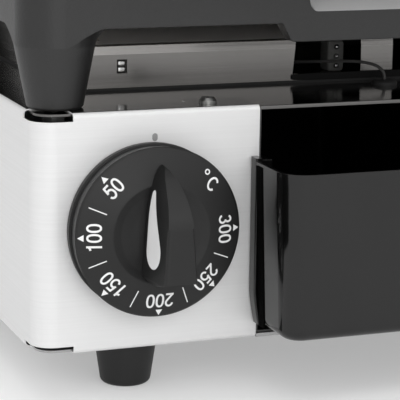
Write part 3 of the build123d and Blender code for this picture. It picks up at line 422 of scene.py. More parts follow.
@dataclass(frozen=True)
class GlossEnamel(Finish):
    """Black gloss enamel with a slow orange peel under a clear skin."""

    level: float = 0.003
    roughness: float = 0.11
    peel_scale: float = 260.0
    haze_scale: float = 26.0
    relief: float = 0.2 * MM
    edge: float = 0.4 * MM

    def material(self, name: str) -> bpy.types.Material:
        """Return the enamel's material.

        Args:
            name: the slot's or node's name.

        Returns:
            The material.
        """
        paint = Paint(name)
        where = paint.place()
        peel = paint.noise(where, self.peel_scale)
        broad = paint.noise(where, self.haze_scale, 3, 0.6)
        haze = paint.spread(broad, (0.4, 0.75), (0.0, 1.0))
        colour = paint.mix(haze, grey(self.level), grey(self.level * 1.6))
        return paint.surface(
            {
                "Base Color": colour,
                "Roughness": self.roughness + haze * 0.04 + (peel - 0.5) * 0.02,
                "Specular IOR Level": 0.5,
                "Normal": paint.bump(peel, 0.12, self.relief, self.edge),
            }
        )


@dataclass(frozen=True)
class Moulded(Finish):
    """Moulded plastic or rubber with a fine spark-eroded grain."""

    level: float
    roughness: float
    warm: float = 0.0
    grain: float = 0.25
    edge: float = 0.35
    shine: float = 0.5
    spark_scale: float = 2200.0
    flow_scale: float = 40.0
    relief: float = 0.1 * MM

    def material(self, name: str) -> bpy.types.Material:
        """Return the plastic's material.

        Args:
            name: the slot's or node's name.

        Returns:
            The material.
        """
        paint = Paint(name)
        where = paint.place()
        fine = paint.noise(where, self.spark_scale, 2, 0.6)
        broad = paint.noise(where, self.flow_scale)
        flow = paint.spread(broad, (0.35, 0.7), (0.0, 1.0))
        dark = grey(self.level * 0.92, self.warm)
        light = grey(min(1.0, self.level * 1.08), self.warm)
        return paint.surface(
            {
                "Base Color": paint.mix(flow, dark, light),
                "Roughness": self.roughness + (fine - 0.5) * 0.1 + flow * 0.03,
                "Specular IOR Level": self.shine,
                "Normal": paint.bump(fine, self.grain, self.relief, self.edge * MM),
            }
        )


@dataclass(frozen=True)
class TintedMetal(Finish):
    """Small metal part: plated, oxidised, copper or bronze, with a mottled tint."""

    light: tuple[float, float, float]
    dark: tuple[float, float, float]
    roughness: float
    pores: float = 0.2
    mottle_scale: float = 220.0
    pore_scale: float = 1800.0
    relief: float = 0.1 * MM
    edge: float = 0.25 * MM

    def material(self, name: str) -> bpy.types.Material:
        """Return the metal's material.

        Args:
            name: the slot's or node's name.

        Returns:
            The material.
        """
        paint = Paint(name)
        where = paint.place()
        mottle = paint.noise(where, self.mottle_scale, 3, 0.6)
        fine = paint.noise(where, self.pore_scale)
        tint = paint.spread(mottle, (0.3, 0.72), (0.0, 1.0))
        return paint.surface(
            {
                "Base Color": paint.mix(tint, (*self.dark, 1), (*self.light, 1)),
                "Metallic": 1.0,
                "Roughness": self.roughness + (mottle - 0.5) * 0.15,
                "Normal": paint.bump(fine, self.pores, self.relief, self.edge),
            }
        )


@dataclass(frozen=True)
class Mineral(Finish):
    """Pressed board or unglazed ceramic: matt, with grains and small pores."""

    colour: tuple[float, float, float]
    pores: float
    grain_scale: float = 700.0
    shade: float = 0.82
    relief: float = 0.2 * MM
    edge: float = 0.3 * MM

    def material(self, name: str) -> bpy.types.Material:
        """Return the mineral's material.

        Args:
            name: the slot's or node's name.

        Returns:
            The material.
        """
        paint = Paint(name)
        where = paint.place()
        grains = paint.noise(where, self.grain_scale, 3, 0.6)
        tint = paint.spread(grains, (0.3, 0.7), (0.0, 1.0))
        dark = tuple(self.shade * part for part in self.colour)
        return paint.surface(
            {
                "Base Color": paint.mix(tint, (*dark, 1), (*self.colour, 1)),
                "Roughness": 0.8 + (grains - 0.5) * 0.1,
                "Normal": paint.bump(grains, self.pores, self.relief, self.edge),
            }
        )


@dataclass(frozen=True)
class LampGlass(Finish):
    """Clear coloured lens with moulded prisms behind its face."""

    colour: tuple[float, float, float]
    prism_scale: float = 900.0
    depth: float = 0.45
    coat: float = 0.6
    relief: float = 0.2 * MM
    edge: float = 0.2 * MM

    def material(self, name: str) -> bpy.types.Material:
        """Return the lens's material.

        Args:
            name: the slot's or node's name.

        Returns:
            The material.
        """
        paint = Paint(name)
        where = paint.place()
        cells = paint.node(
            "ShaderNodeTexVoronoi", None, {"Vector": where, "Scale": self.prism_scale}
        )
        facet = paint.spread(cells, (0.1, 0.6), (0.0, 1.0))
        deep = tuple(self.depth * part for part in self.colour)
        return paint.surface(
            {
                "Base Color": paint.mix(facet, (*deep, 1), (*self.colour, 1)),
                "Roughness": 0.12 + facet * 0.08,
                "Coat Weight": self.coat,
                "Normal": paint.bump(facet, 0.2, self.relief, self.edge),
            }
        )


class Wardrobe:
    """The grill's finishes by slot or node, each made once and shared by its pieces."""

    def __init__(self, recipes: dict[str, Finish]) -> None:
        """Start with nothing made.

        Args:
            recipes: a finish for each slot, and for each node that has its own.
        """
        self.recipes = recipes
        self.made: dict[str, bpy.types.Material] = {}

    def get(self, name: str) -> bpy.types.Material:
        """Fetch a material, which is made at its first use.

        Args:
            name: a slot or node with a finish.

        Returns:
            The material.
        """
        if name not in self.made:
            self.made[name] = self.recipes[name].material(name)
        return self.made[name]

    def put_on(self, node: str) -> None:
        """Give a CAD node its own finish where it has one, or else its slot's.

        Args:
            node: the node's name.
        """
        name = node if node in self.recipes else SLOTS[node]
        materials = NODES[node].data.materials
        materials.clear()
        materials.append(self.get(name))
        LOG.info("%s wears %s", node, name)


WARDROBE = Wardrobe(
    {
        "stainless_sheet": SteelSheet(
            level=0.82,
            roughness=0.5,
            streaks=0.02,
            metal=0.25,
            unevenness=0.15,
            top=(0.42, 0.12, 1.0),
        ),
        "stainless_deck": SteelSheet(
            level=0.15,
            roughness=0.3,
            warm=0.02,
            grain=Grain.ALONG_TOP,
            streaks=0.05,
            wave=0.5,
            top=(0.53, 0.08, 1.0),
        ),
        "polished_sheet": SteelSheet(0.5, 0.12, warm=0.02, streaks=0.05, wave=0.5),
        "galvanised_sheet": SteelSheet(0.42, 0.42, grain=Grain.ALONG_TOP, streaks=0.08),
        "arm_stainless": SteelSheet(0.72, 0.26, streaks=0.04),
        # Painted light: the box's upward faces are painted pale and its leaning bevel lighter,
        # standing in for the bright reflection of the light above in the polished sheet.
        "wiring_box": SteelSheet(
            level=0.19,
            roughness=0.22,
            warm=0.03,
            streaks=0.05,
            wave=0.5,
            top=(0.7, 0.4, 0.1),
            shoulder_highlight=0.4,
        ),
        "tray_bay": SteelSheet(0.1, 0.5, grain=Grain.ALONG_TOP, streaks=0.05),
        "steel_screws": TintedMetal((0.5, 0.5, 0.49), (0.3, 0.3, 0.3), 0.3),
        "deck_screws": TintedMetal((0.3, 0.3, 0.29), (0.16, 0.16, 0.16), 0.35),
        "plated_steel": TintedMetal((0.52, 0.52, 0.5), (0.36, 0.36, 0.35), 0.32),
        "catch_steel": TintedMetal((0.7, 0.7, 0.69), (0.5, 0.5, 0.5), 0.18),
        "heater_sheath": TintedMetal((0.26, 0.24, 0.22), (0.12, 0.11, 0.1), 0.55),
        "capillary_copper": TintedMetal((0.5, 0.42, 0.35), (0.3, 0.24, 0.19), 0.35),
        "bronze": TintedMetal((0.6, 0.45, 0.24), (0.42, 0.29, 0.14), 0.45, pores=0.4),
        "cast_plate": CastSurface(),
        "tray_enamel": GlossEnamel(),
        # Matt black strip beside the drawer: painted shade in the gap.
        "tray_shade_strip": Moulded(0.002, 0.8, shine=0.02),
        # Matt black bar along the wiring box's window sill: painted shade where the opening is
        # dark.
        "sill_shade_bar": Moulded(0.004, 0.7, shine=0.2),
        "lead_sleeve": Moulded(0.05, 0.6, warm=0.02, grain=0.3),
        "black_feet": Moulded(0.009, 0.5, shine=0.4),
        "black_rubber": Moulded(0.01, 0.7, grain=0.35),
        "control_plastic": Moulded(0.022, 0.42),
        "dial_plastic": Moulded(0.011, 0.42, grain=0.2, shine=0.38),
        "dial_disc": Moulded(0.011, 0.42, grain=0.2, edge=1.2, shine=0.38),
        "dial_inlay": Moulded(0.92, 0.42, grain=0.1),
        "index_print": Moulded(0.3, 0.45),
        "grip_plastic": Moulded(0.016, 0.42, grain=0.3),
        "mineral_board": Mineral((0.72, 0.7, 0.64), pores=0.6),
        "white_ceramic": Mineral((0.86, 0.85, 0.82), pores=0.3),
        "splice_ceramic": Mineral((0.26, 0.26, 0.25), pores=0.3),
        "lens_amber": LampGlass((0.85, 0.33, 0.04)),
    }
)


class Corner(Enum):
    """How square a block's edges are: the exponent of its cosines and sines."""

    SHARP = 0.25
    TIGHT = 0.3
    SOFT = 0.6
    BALL = 1.0


def surface_object(
    name: str, points: np.ndarray, faces: np.ndarray | list, smooth: bool = False
) -> bpy.types.Object:
    """Make a mesh object at the origin from arrays.

    Args:
        name: the piece's name.
        points: N by 3 places in metres.
        faces: rows of point numbers.
        smooth: True for a rounded surface.

    Returns:
        The object, linked to the scene.
    """
    mesh = bpy.data.meshes.new(name)
    mesh.from_pydata(points.tolist(), [], [list(map(int, f)) for f in faces])
    mesh.validate()
    mesh.update()
    if smooth:
        mesh.polygons.foreach_set("use_smooth", np.ones(len(mesh.polygons), bool))
    made = bpy.data.objects.new(name, mesh)
    bpy.context.scene.collection.objects.link(made)
    return made


def join_arrays(parts: list[tuple[np.ndarray, np.ndarray]]) -> tuple[np.ndarray, np.ndarray]:
    """Put several meshes into one.

    Args:
        parts: pairs of points and faces.

    Returns:
        One pair, with the faces' numbers moved on.
    """
    starts = np.cumsum([0] + [len(points) for points, _ in parts[:-1]])
    points = np.vstack([points for points, _ in parts])
    faces = np.vstack([faces + start for (_, faces), start in zip(parts, starts)])
    return points, faces


def shell_faces(count: int, around: int) -> list[list[int]]:
    """Return the outward faces of a stack of rings that a pole closes at each end.

    Args:
        count: number of rings, whose points come first, ring by ring.
        around: points in a ring; the first and the last pole follow the rings.

    Returns:
        Rows of point numbers.
    """
    row, turn = np.meshgrid(np.arange(count - 1), np.arange(around), indexing="ij")
    here = (row * around + turn).ravel()
    beside = (row * around + (turn + 1) % around).ravel()
    sides = np.c_[here, beside, beside + around, here + around]
    ring = np.arange(around)
    after = (ring + 1) % around
    top = (count - 1) * around
    first = np.c_[np.full(around, count * around), after, ring]
    last = np.c_[np.full(around, count * around + 1), top + ring, top + after]
    return [*sides.tolist(), *first.tolist(), *last.tolist()]


def tube(name: str, path: np.ndarray, radius: float, aside: np.ndarray) -> bpy.types.Object:
    """Carry a circle along a plane path: P + r (cos a) aside + r (sin a) (ahead x aside).

    Args:
        name: the piece's name.
        path: places on the tube's middle line.
        radius: the circle's radius.
        aside: unit vector square to the path's plane.

    Returns:
        The tube, closed at both ends.
    """
    around = 16
    angle = np.linspace(0, 2 * np.pi, around, endpoint=False)[None, :, None]
    ahead = np.gradient(path, axis=0)
    ahead /= np.linalg.norm(ahead, axis=1, keepdims=True)
    across = np.cross(ahead, aside)[:, None]
    rings = path[:, None] + radius * (np.cos(angle) * aside + np.sin(angle) * across)
    points = np.vstack([rings.reshape(-1, 3), path[[0, -1]]])
    return surface_object(name, points, shell_faces(len(path), around), smooth=True)


def rounded_block(
    name: str,
    middle: tuple[float, float, float],
    half: tuple[float, float, float],
    corner: Corner,
) -> bpy.types.Object:
    """Make a block with rounded edges: a superellipsoid whose poles lie on the X axis.

    x = a S(u), y = b C(u) C(v), z = c C(u) S(v), where C and S are the cosine and sine
    with their size raised to the corner's exponent: 1 gives an ellipsoid, less a
    squarer block.

    Args:
        name: the piece's name.
        middle: its centre.
        half: its half sizes a, b and c.
        corner: how square its edges are.

    Returns:
        The object, with its place in its mesh.
    """
    rows, around = 17, 36
    u = np.linspace(-np.pi / 2, np.pi / 2, rows + 2)[1:-1, None]
    v = np.linspace(0, 2 * np.pi, around, endpoint=False)[None, :]

    def eased(value: np.ndarray) -> np.ndarray:
        """Return the value with its size raised to the corner's exponent."""
        return np.sign(value) * np.abs(value) ** corner.value

    x = eased(np.sin(u)) + 0 * v
    y = eased(np.cos(u)) * eased(np.cos(v))
    z = eased(np.cos(u)) * eased(np.sin(v))
    shell = np.stack([x, y, z], axis=-1).reshape(-1, 3)
    points = np.vstack([shell, [[-1, 0, 0], [1, 0, 0]]]) * half + middle
    faces = shell_faces(rows, around)
    return surface_object(name, points, faces, smooth=True)


@dataclass
class DialPrint:
    """Printed scale of the thermostat dial: numbers, arrows and ticks.

    A mark is a flat bar with a rectangular section carried along a plane path. The
    path's sides lie half a stroke away along the mitred normals: for neighbouring
    normals a and b the offset is (a + b) / (1 + a.b).
    """

    centre: tuple[float, float]
    crest: float
    rise: float = 4.0 * MM
    crest_radius: float = 21.5 * MM
    rim_radius: float = 36.1 * MM
    stroke: float = 0.92 * MM
    ring_stroke: float = 0.6 * MM
    height: float = 6.4 * MM
    pitch: float = 0.66
    unit_angle: float = 45.2
    unit_pitch: float = 0.82
    unit_outwards: float = 1.4 * MM
    text_radius: float = 29.2 * MM
    arrow_inner: float = 33.4 * MM
    arrow_outer: float = 36.05 * MM
    arrow_half: float = 1.5 * MM
    tick_inner: float = 25.9 * MM
    tick_outer: float = 33.8 * MM
    tick_stroke: float = 0.5 * MM
    proud: float = 0.05 * MM
    sunk: float = 0.03 * MM
    numbers: tuple[str, ...] = ("50", "100", "150", "200", "250", "300")
    first_angle: float = 135.0
    step_angle: float = 45.0
    curve_points: int = 24
    zero_half_width: float = 0.225
    zero_power: float = 0.84
    marks: list[tuple[np.ndarray, np.ndarray]] = field(default_factory=list)

    def on_face(self, flat: np.ndarray, lift: float) -> np.ndarray:
        """Carry plane points onto the dial's conical face.

        The face falls from its crest to its rim in a straight line:
        y = crest + rise (r - crest_radius) / (rim_radius - crest_radius).

        Args:
            flat: N by 2 points in metres about the dial's axis.
            lift: how far they stand in front of the face.

        Returns:
            N by 3 points in the row frame.
        """
        radius = np.hypot(flat[:, 0], flat[:, 1])
        run = (radius - self.crest_radius) / (self.rim_radius - self.crest_radius)
        depth = self.crest + self.rise * run - lift
        return np.c_[self.centre[0] + flat[:, 0], depth, self.centre[1] + flat[:, 1]]

    def bar(self, path: np.ndarray, stroke: float, closed: bool = False) -> None:
        """Add one bar along a path of dial coordinates.

        Args:
            path: M by 2 points in metres, x to the right and y up.
            stroke: the bar's width.
            closed: True where the last point runs on to the first.
        """
        before = np.roll(path, 1, axis=0)
        after = np.roll(path, -1, axis=0)
        if not closed:
            before[0] = 2 * path[0] - path[1]
            after[-1] = 2 * path[-1] - path[-2]
        first = path - before
        second = after - path
        first /= np.linalg.norm(first, axis=1, keepdims=True)
        second /= np.linalg.norm(second, axis=1, keepdims=True)
        a = np.c_[-first[:, 1], first[:, 0]]
        b = np.c_[-second[:, 1], second[:, 0]]
        lean = (a + b) / (1 + (a * b).sum(axis=1, keepdims=True))
        left = path + lean * stroke / 2
        right = path - lean * stroke / 2
        front, back = self.proud, -self.sunk
        count = len(path)
        corners = [(left, front), (right, front), (right, back), (left, back)]
        rings = [self.on_face(side, lift) for side, lift in corners]
        points = np.stack(rings, axis=1).reshape(-1, 3)
        steps = np.arange(count if closed else count - 1)[:, None]
        sides = np.arange(4)[None, :]
        here = 4 * steps
        there = 4 * ((steps + 1) % count)
        turn = (sides + 1) % 4
        faces = np.stack([here + sides, there + sides, there + turn, here + turn], axis=-1)
        faces = faces.reshape(-1, 4)
        if not closed:
            last = 4 * (count - 1)
            ends = np.array([[0, 1, 2, 3], [last + 3, last + 2, last + 1, last]])
            faces = np.vstack([faces, ends])
        self.marks.append((points, faces))

    def glyph(self, sign: str) -> list[tuple[np.ndarray, bool]]:
        """Return a sign's strokes in units of its height, centred on 0, 0.

        Every round is part of x = a cos t, y = b sin t; the zero is squared up with
        the powers of a superellipse.

        Args:
            sign: one of 0, 1, 2, 3, 5, C and the degree sign.

        Returns:
            Pairs of path and closed flag.
        """
        reach = 0.5 * (1 - self.stroke / self.height)

        def arc(x: float, y: float, a: float, b: float, start: float, end: float) -> np.ndarray:
            """Return part of an ellipse from one angle to another, in degrees."""
            t = np.radians(np.linspace(start, end, self.curve_points))
            return np.c_[x + a * np.cos(t), y + b * np.sin(t)]

        if sign == "0":
            t = np.linspace(0, 2 * np.pi, 2 * self.curve_points, endpoint=False)
            c, s = np.cos(t), np.sin(t)
            x = self.zero_half_width * np.sign(c) * np.abs(c) ** self.zero_power
            y = reach * np.sign(s) * np.abs(s) ** self.zero_power
            return [(np.c_[x, y], True)]
        if sign == "1":
            stem = np.array([[0.07, 0.5], [0.07, -0.5]])
            flag = np.array([[0.06, 0.36], [-0.04, 0.26], [-0.17, 0.235]])
            return [(stem, False), (flag, False)]
        if sign == "2":
            hook = arc(0, reach - 0.235, 0.225, 0.235, 175, -38)
            slope = np.vstack([hook, [[-0.2, -reach]]])
            foot = np.array([[-0.27, -reach], [0.27, -reach]])
            return [(slope, False), (foot, False)]
        if sign == "3":
            top = arc(-0.02, 0.215, 0.19, reach - 0.215, 160, -80)
            low = arc(-0.02, -0.19, 0.235, reach - 0.19, 78, -165)
            return [(top, False), (low, False)]
        if sign == "5":
            stem = np.array([[0.22, reach], [-0.15, reach], [-0.2, -0.02]])
            bowl = arc(-0.01, -0.14, 0.235, reach - 0.14, 145, -160)
            return [(stem, False), (bowl, False)]
        if sign == "C":
            return [(arc(0, 0, 0.3, reach, 38, 322), False)]
        return [(arc(0, 0.34, 0.15, 0.15, 0, 345), True)]

    def word(self, text: str, angle: float, pitch: float, outwards: float = 0.0) -> None:
        """Set a word on the dial with its tops outwards.

        Args:
            text: the signs to print.
            angle: its place round the dial, in degrees from the right, anticlockwise.
            pitch: the step from sign to sign in units of their height.
            outwards: how far beyond the ring of numbers it stands.
        """
        turn = np.radians(angle - 90)
        spin = np.array([[np.cos(turn), -np.sin(turn)], [np.sin(turn), np.cos(turn)]])
        for place, sign in enumerate(text):
            stroke = self.ring_stroke if sign == "°" else self.stroke
            offset = (place - (len(text) - 1) / 2) * pitch
            for path, closed in self.glyph(sign):
                local = (path + [offset, 0]) * self.height
                local = local + [0, self.text_radius + outwards]
                self.bar(local @ spin.T, stroke, closed)

    def arrow(self, angle: float) -> None:
        """Add a filled arrow that points outwards.

        Args:
            angle: its place round the dial, in degrees from the right, anticlockwise.
        """
        along = np.array([np.cos(np.radians(angle)), np.sin(np.radians(angle))])
        across = np.array([-along[1], along[0]])
        flat = np.array(
            [
                along * self.arrow_outer,
                along * self.arrow_inner + across * self.arrow_half,
                along * self.arrow_inner - across * self.arrow_half,
                along * self.arrow_inner,
            ]
        )
        rings = [self.on_face(flat, lift) for lift in (self.proud, -self.sunk)]
        faces = np.array(
            [[0, 1, 3, 2], [4, 6, 7, 5], [0, 4, 5, 1], [1, 5, 7, 3], [3, 7, 6, 2], [2, 6, 4, 0]]
        )
        self.marks.append((np.vstack(rings), faces[:, ::-1]))

    def tick(self, angle: float) -> None:
        """Add a thin radial tick.

        Args:
            angle: its place round the dial, in degrees from the right, anticlockwise.
        """
        along = np.array([np.cos(np.radians(angle)), np.sin(np.radians(angle))])
        path = np.outer([self.tick_inner, self.tick_outer], along)
        self.bar(path, self.tick_stroke)

    def build(self) -> bpy.types.Object:
        """Print the whole scale.

        Returns:
            The scale as one piece, which turns with the dial.
        """
        angles = self.first_angle + self.step_angle * np.arange(len(self.numbers))
        for text, angle in zip(self.numbers, angles):
            self.word(text, angle, self.pitch)
            self.arrow(angle)
        for angle in (angles[:-1] + angles[1:]) / 2:
            self.tick(angle)
        self.word("°C", self.unit_angle, self.unit_pitch, self.unit_outwards)
        points, faces = join_arrays(self.marks)
        made = surface_object("dial_print", points, faces)
        made.data.materials.append(WARDROBE.get("dial_inlay"))
        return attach(made, "dial")


@dataclass
class IndexMark:
    """Printed mark on the front panel that the dial's numbers are set against.

    Its outline is a half circle at each end and two upright lines.
    """

    x: float
    low: float
    high: float
    panel: float
    width: float = 2.4 * MM
    proud: float = 0.05 * MM
    sunk: float = 0.02 * MM
    arc_points: int = 17

    def build(self) -> bpy.types.Object:
        """Print the mark.

        Returns:
            The mark, riding on the cabinet.
        """
        radius = self.width / 2
        t = np.linspace(0, np.pi, self.arc_points)
        top = np.c_[radius * np.cos(t), self.high - radius + radius * np.sin(t)]
        low = np.c_[-radius * np.cos(t), self.low + radius - radius * np.sin(t)]
        outline = np.vstack([top, low])
        count = len(outline)
        rings = [
            np.c_[self.x + outline[:, 0], np.full(count, y), outline[:, 1]]
            for y in (self.panel - self.proud, self.panel + self.sunk)
        ]
        points = np.vstack(rings + [[[self.x, self.panel - self.proud, self.low + radius]]])
        here = np.arange(count)
        there = (here + 1) % count
        sides = np.c_[here, here + count, there + count, there]
        fan = np.c_[there, np.full(count, 2 * count), here]
        made = surface_object("index_mark", points, sides.tolist() + fan.tolist())
        made.data.materials.append(WARDROBE.get("index_print"))
        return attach(made, "base")


@dataclass
class SubAssembly:
    """Pieces that are put together on the bench before they go into the grill."""

    nodes: tuple[str, ...]

    def dress(self) -> None:
        """Give every node of the group its finish."""
        for node in self.nodes:
            WARDROBE.put_on(node)

    def build(self) -> None:
        """Make the group ready: the CAD nodes with their finishes."""
        self.dress()


@dataclass
class Cabinet(SubAssembly):
    """Folded stainless cabinet on four feet, with its lamps and the index mark."""

    nodes: tuple[str, ...] = (
        "housing_left",
        "housing_right",
        "base_plate",
        "deck_plate",
        "deck_screws",
        "rear_panel",
        "rear_screws",
        "tray_bay",
        "foot_front_left",
        "foot_front_right",
        "foot_back_left",
        "foot_back_right",
        "foot_screws",
        "foot_screw_nuts",
        "lamp_bezels",
        "lamp_lenses",
    )
    mark_right: float = 2.6 * MM
    mark_low: float = 36.8 * MM
    mark_high: float = 40.2 * MM

    def build(self) -> None:
        """Dress the cabinet and print the mark above the dial."""
        self.dress()
        low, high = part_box("dial_disc")
        middle = (low + high) / 2
        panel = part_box("housing_left")[0].y
        mark = IndexMark(
            middle.x + self.mark_right,
            middle.z + self.mark_low,
            middle.z + self.mark_high,
            panel,
        )
        LOG.info("%s printed on the cabinet", mark.build().name)


@dataclass
class Thermostat(SubAssembly):
    """Regulator with its capillary bulb, shaft, dial, grip and printed scale."""

    nodes: tuple[str, ...] = (
        "thermostat_body",
        "thermostat_nut",
        "capillary_bulb",
        "dial_shaft",
        "dial_disc",
        "dial_grip",
        "grip_inlay",
    )

    def build(self) -> None:
        """Dress the dial and print its scale on the conical face."""
        self.dress()
        low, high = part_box("dial_disc")
        middle = (low + high) / 2
        scale = DialPrint((middle.x, middle.z), low.y).build()
        LOG.info("%s printed on the dial", scale.name)


@dataclass
class GreaseTray(SubAssembly):
    """Deep-drawn enamelled drawer, its runners, and the lips that close on the panels.

    A lip or shade strip is an upright strip whose section is a squared ellipse; the shade
    strip is matt black, painted shade in the gap beside the drawer. Its outer face lies at
    x = side (reach - toe t^power), where t runs from 0 at the knee to 1 at the foot, or
    follows the draft of the drawer: x = side (reach - slope (top - z)).
    """

    nodes: tuple[str, ...] = ("drip_tray", "tray_runners")
    reach: float = 72.9 * MM
    toe: float = 2.4 * MM
    knee: float = 16.0 * MM
    draft: float = 2.0
    lip_depth: float = 3.2 * MM
    lip_span: tuple[float, float] = (0.4 * MM, 7.0 * MM)
    # Matt black strip that paints the shade in the gap behind each lip.
    shade_strip_depth: float = 0.9 * MM
    shade_strip_proud: float = 0.35 * MM
    shade_strip_span: tuple[float, float] = (7.1 * MM, 13.6 * MM)
    lip_above_rim: float = 1.5 * MM
    toe_power: float = 1.5
    sections: int = 40
    ring_points: int = 28
    ring_power: float = 0.3
    head_room: float = 1.4 * MM
    foot_room: float = 0.4 * MM

    def strip(
        self, name: str, z: np.ndarray, outer: np.ndarray, deep: float, span: np.ndarray
    ) -> bpy.types.Object:
        """Make one upright strip.

        Args:
            name: the piece's name; one that ends in left lies on the left.
            z: heights of its sections.
            outer: distance of its outer face from the middle at those heights.
            deep: thickness across the drawer.
            span: its ends along Y.

        Returns:
            The strip, riding on the tray.
        """
        side = -1.0 if name.endswith("left") else 1.0
        t = np.linspace(0, 2 * np.pi, self.ring_points, endpoint=False)[None, :]
        across = np.sign(np.cos(t)) * np.abs(np.cos(t)) ** self.ring_power
        along = np.sign(np.sin(t)) * np.abs(np.sin(t)) ** self.ring_power
        x = side * (outer[:, None] + deep / 2 * (across - 1))
        y = span.mean() + np.ptp(span) / 2 * along + 0 * x
        rings = np.stack([x, y, z[:, None] + 0 * x], axis=-1)
        ends = np.stack([rings[0].mean(axis=0), rings[-1].mean(axis=0)])
        points = np.vstack([rings.reshape(-1, 3), ends])
        faces = [face[:: int(side)] for face in shell_faces(len(z), self.ring_points)]
        made = surface_object(name, points, faces)
        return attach(made, "tray")

    def build(self) -> None:
        """Dress the drawer, close the gaps beside it with a lip each side, and paint shade in them
        with a matt black strip each side.
        """
        self.dress()
        low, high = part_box("drip_tray")
        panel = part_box("housing_left")[0].y
        start = low.z + self.foot_room
        lip_z = np.linspace(start, high.z + self.lip_above_rim, self.sections)
        foot = np.clip((start + self.knee - lip_z) / self.knee, 0, 1)
        upright = self.reach - self.toe * foot**self.toe_power
        shade_strip_z = np.linspace(start, high.z - self.head_room, self.sections)
        sloping = self.reach - np.tan(np.radians(self.draft)) * (high.z - shade_strip_z)
        for hand in ("left", "right"):
            lip_y = panel - np.array(self.lip_span)
            lip = self.strip(f"tray_lip_{hand}", lip_z, upright, self.lip_depth, lip_y)
            lip.data.materials.append(WARDROBE.get("tray_enamel"))
            # Painted shade: a near-black strip behind each lip.
            shade_strip_y = panel - np.array(self.shade_strip_span)
            outer = sloping + self.shade_strip_proud
            shade_strip = self.strip(f"tray_shade_strip_{hand}", shade_strip_z, outer, self.shade_strip_depth, shade_strip_y)
            shade_strip.data.materials.append(WARDROBE.get("tray_shade_strip"))
            LOG.info("%s and %s set on the tray", lip.name, shade_strip.name)


@dataclass
class LowerGrill(SubAssembly):
    """Fixed lower casting with its heater, covers, wiring box and sleeved lead."""

    nodes: tuple[str, ...] = (
        "lower_grill_plate",
        "lower_heater",
        "lower_insulation",
        "heater_cover",
        "cover_nuts",
        "wiring_box",
        "box_gasket",
        "lead_sleeve",
        "lead_grommet",
    )
    # Matt black bar along the window's sill that paints the shade of the dark opening.
    sill_shade_x: tuple[float, float] = (-29.4 * MM, 46.8 * MM)
    sill_shade_rise: float = 3.3 * MM
    sill_shade_proud: float = 0.8 * MM
    sill_shade_bite: float = 0.1 * MM
    catch_x: float = -112.8 * MM
    catch_z: tuple[float, float] = (8.4 * MM, 11.2 * MM)
    catch_half: tuple[float, float, float] = (1.8 * MM, 0.8 * MM, 1.2 * MM)
    catch_behind: float = 1.0 * MM
    splice_place: tuple[float, float] = (8.0 * MM, 35.7 * MM)
    splice_half: tuple[float, float, float] = (4.4 * MM, 5.0 * MM, 7.6 * MM)
    splice_screws: tuple[float, ...] = (-4.6 * MM, 0.0, 4.6 * MM)
    splice_screw_radius: float = 1.4 * MM
    lead_radius: float = 0.75 * MM
    lead_tail: float = 10.0 * MM
    lead_rise: float = 2.6 * MM
    lead_pull: float = 13.0 * MM
    lead_end_rise: float = 6.6 * MM
    lead_steps: int = 41
    tail_steps: int = 7

    def add(self, piece: bpy.types.Object, finish: str, slot: str) -> None:
        """Put a finish on a new piece and let it ride on the cabinet.

        Args:
            piece: the piece.
            finish: the wardrobe's name of its finish.
            slot: the material slot that it stands for; not used.
        """
        piece.data.materials.append(WARDROBE.get(finish))
        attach(piece, "base")
        LOG.info("%s wears %s", piece.name, finish)

    def lead(self) -> None:
        """Lay the sleeved lead: an upright run through the grommet, then a sagging arc.

        The arc is B(t) = (1-t)^3 a + 3 (1-t)^2 t b + 3 (1-t) t^2 c + t^3 d, where b lies
        above its start a, and c lies halfway back from its end d.
        """
        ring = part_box("lead_grommet")
        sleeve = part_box("lead_sleeve")
        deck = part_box("deck_plate")[1].z
        x, y = (ring[0].x + ring[1].x) / 2, (ring[0].y + ring[1].y) / 2
        a = np.array([x, y, deck + self.lead_rise])
        d = np.array([sleeve[0].x, sleeve[1].y, deck + self.lead_end_rise])
        run = (d - a) * [1, 1, 0]
        b = a + [0, 0, self.lead_pull]
        c = d - run / 2
        t = np.linspace(0, 1, self.lead_steps)[:, None]
        arc = (1 - t) ** 3 * a + 3 * (1 - t) ** 2 * t * b + 3 * (1 - t) * t**2 * c + t**3 * d
        tail = np.linspace(a - [0, 0, self.lead_tail], a, self.tail_steps)[:-1]
        aside = np.array([run[1], -run[0], 0]) / np.linalg.norm(run)
        made = tube("heater_lead", np.vstack([tail, arc]), self.lead_radius, aside)
        self.add(made, "lead_sleeve", "black_rubber")
        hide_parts("lead_sleeve")

    def build(self) -> None:
        """Dress the group; add a matt black bar along the window's sill that paints shade there,
        the box's catch, splice and lead.
        """
        self.dress()
        self.lead()
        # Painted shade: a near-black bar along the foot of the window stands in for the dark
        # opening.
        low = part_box("wiring_box")[0]
        front, floor = low.y, low.z
        left, right = self.sill_shade_x
        sill_shade = rounded_block(
            "sill_shade_bar",
            ((left + right) / 2, front - self.sill_shade_proud / 2, floor + self.sill_shade_rise / 2),
            ((right - left) / 2, self.sill_shade_proud / 2 + self.sill_shade_bite, self.sill_shade_rise / 2),
            Corner.TIGHT,
        )
        self.add(sill_shade, "sill_shade_bar", "black_rubber")
        for side, rise in zip(("low", "high"), self.catch_z):
            middle = (self.catch_x, front + self.catch_behind, floor + rise)
            catch = rounded_block(f"box_catch_{side}", middle, self.catch_half, Corner.SOFT)
            self.add(catch, "catch_steel", "plated_steel")
        x, behind = self.splice_place
        a, b, c = self.splice_half
        middle = (x, front + behind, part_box("deck_plate")[1].z + c)
        block = rounded_block("splice_block", middle, (a, b, c), Corner.SHARP)
        self.add(block, "splice_ceramic", "white_ceramic")
        for number, rise in enumerate(self.splice_screws, start=1):
            head = (x, middle[1] - b, middle[2] + rise)
            half = (self.splice_screw_radius,) * 3
            screw = rounded_block(f"splice_screw_{number}", head, half, Corner.BALL)
            self.add(screw, "catch_steel", "plated_steel")


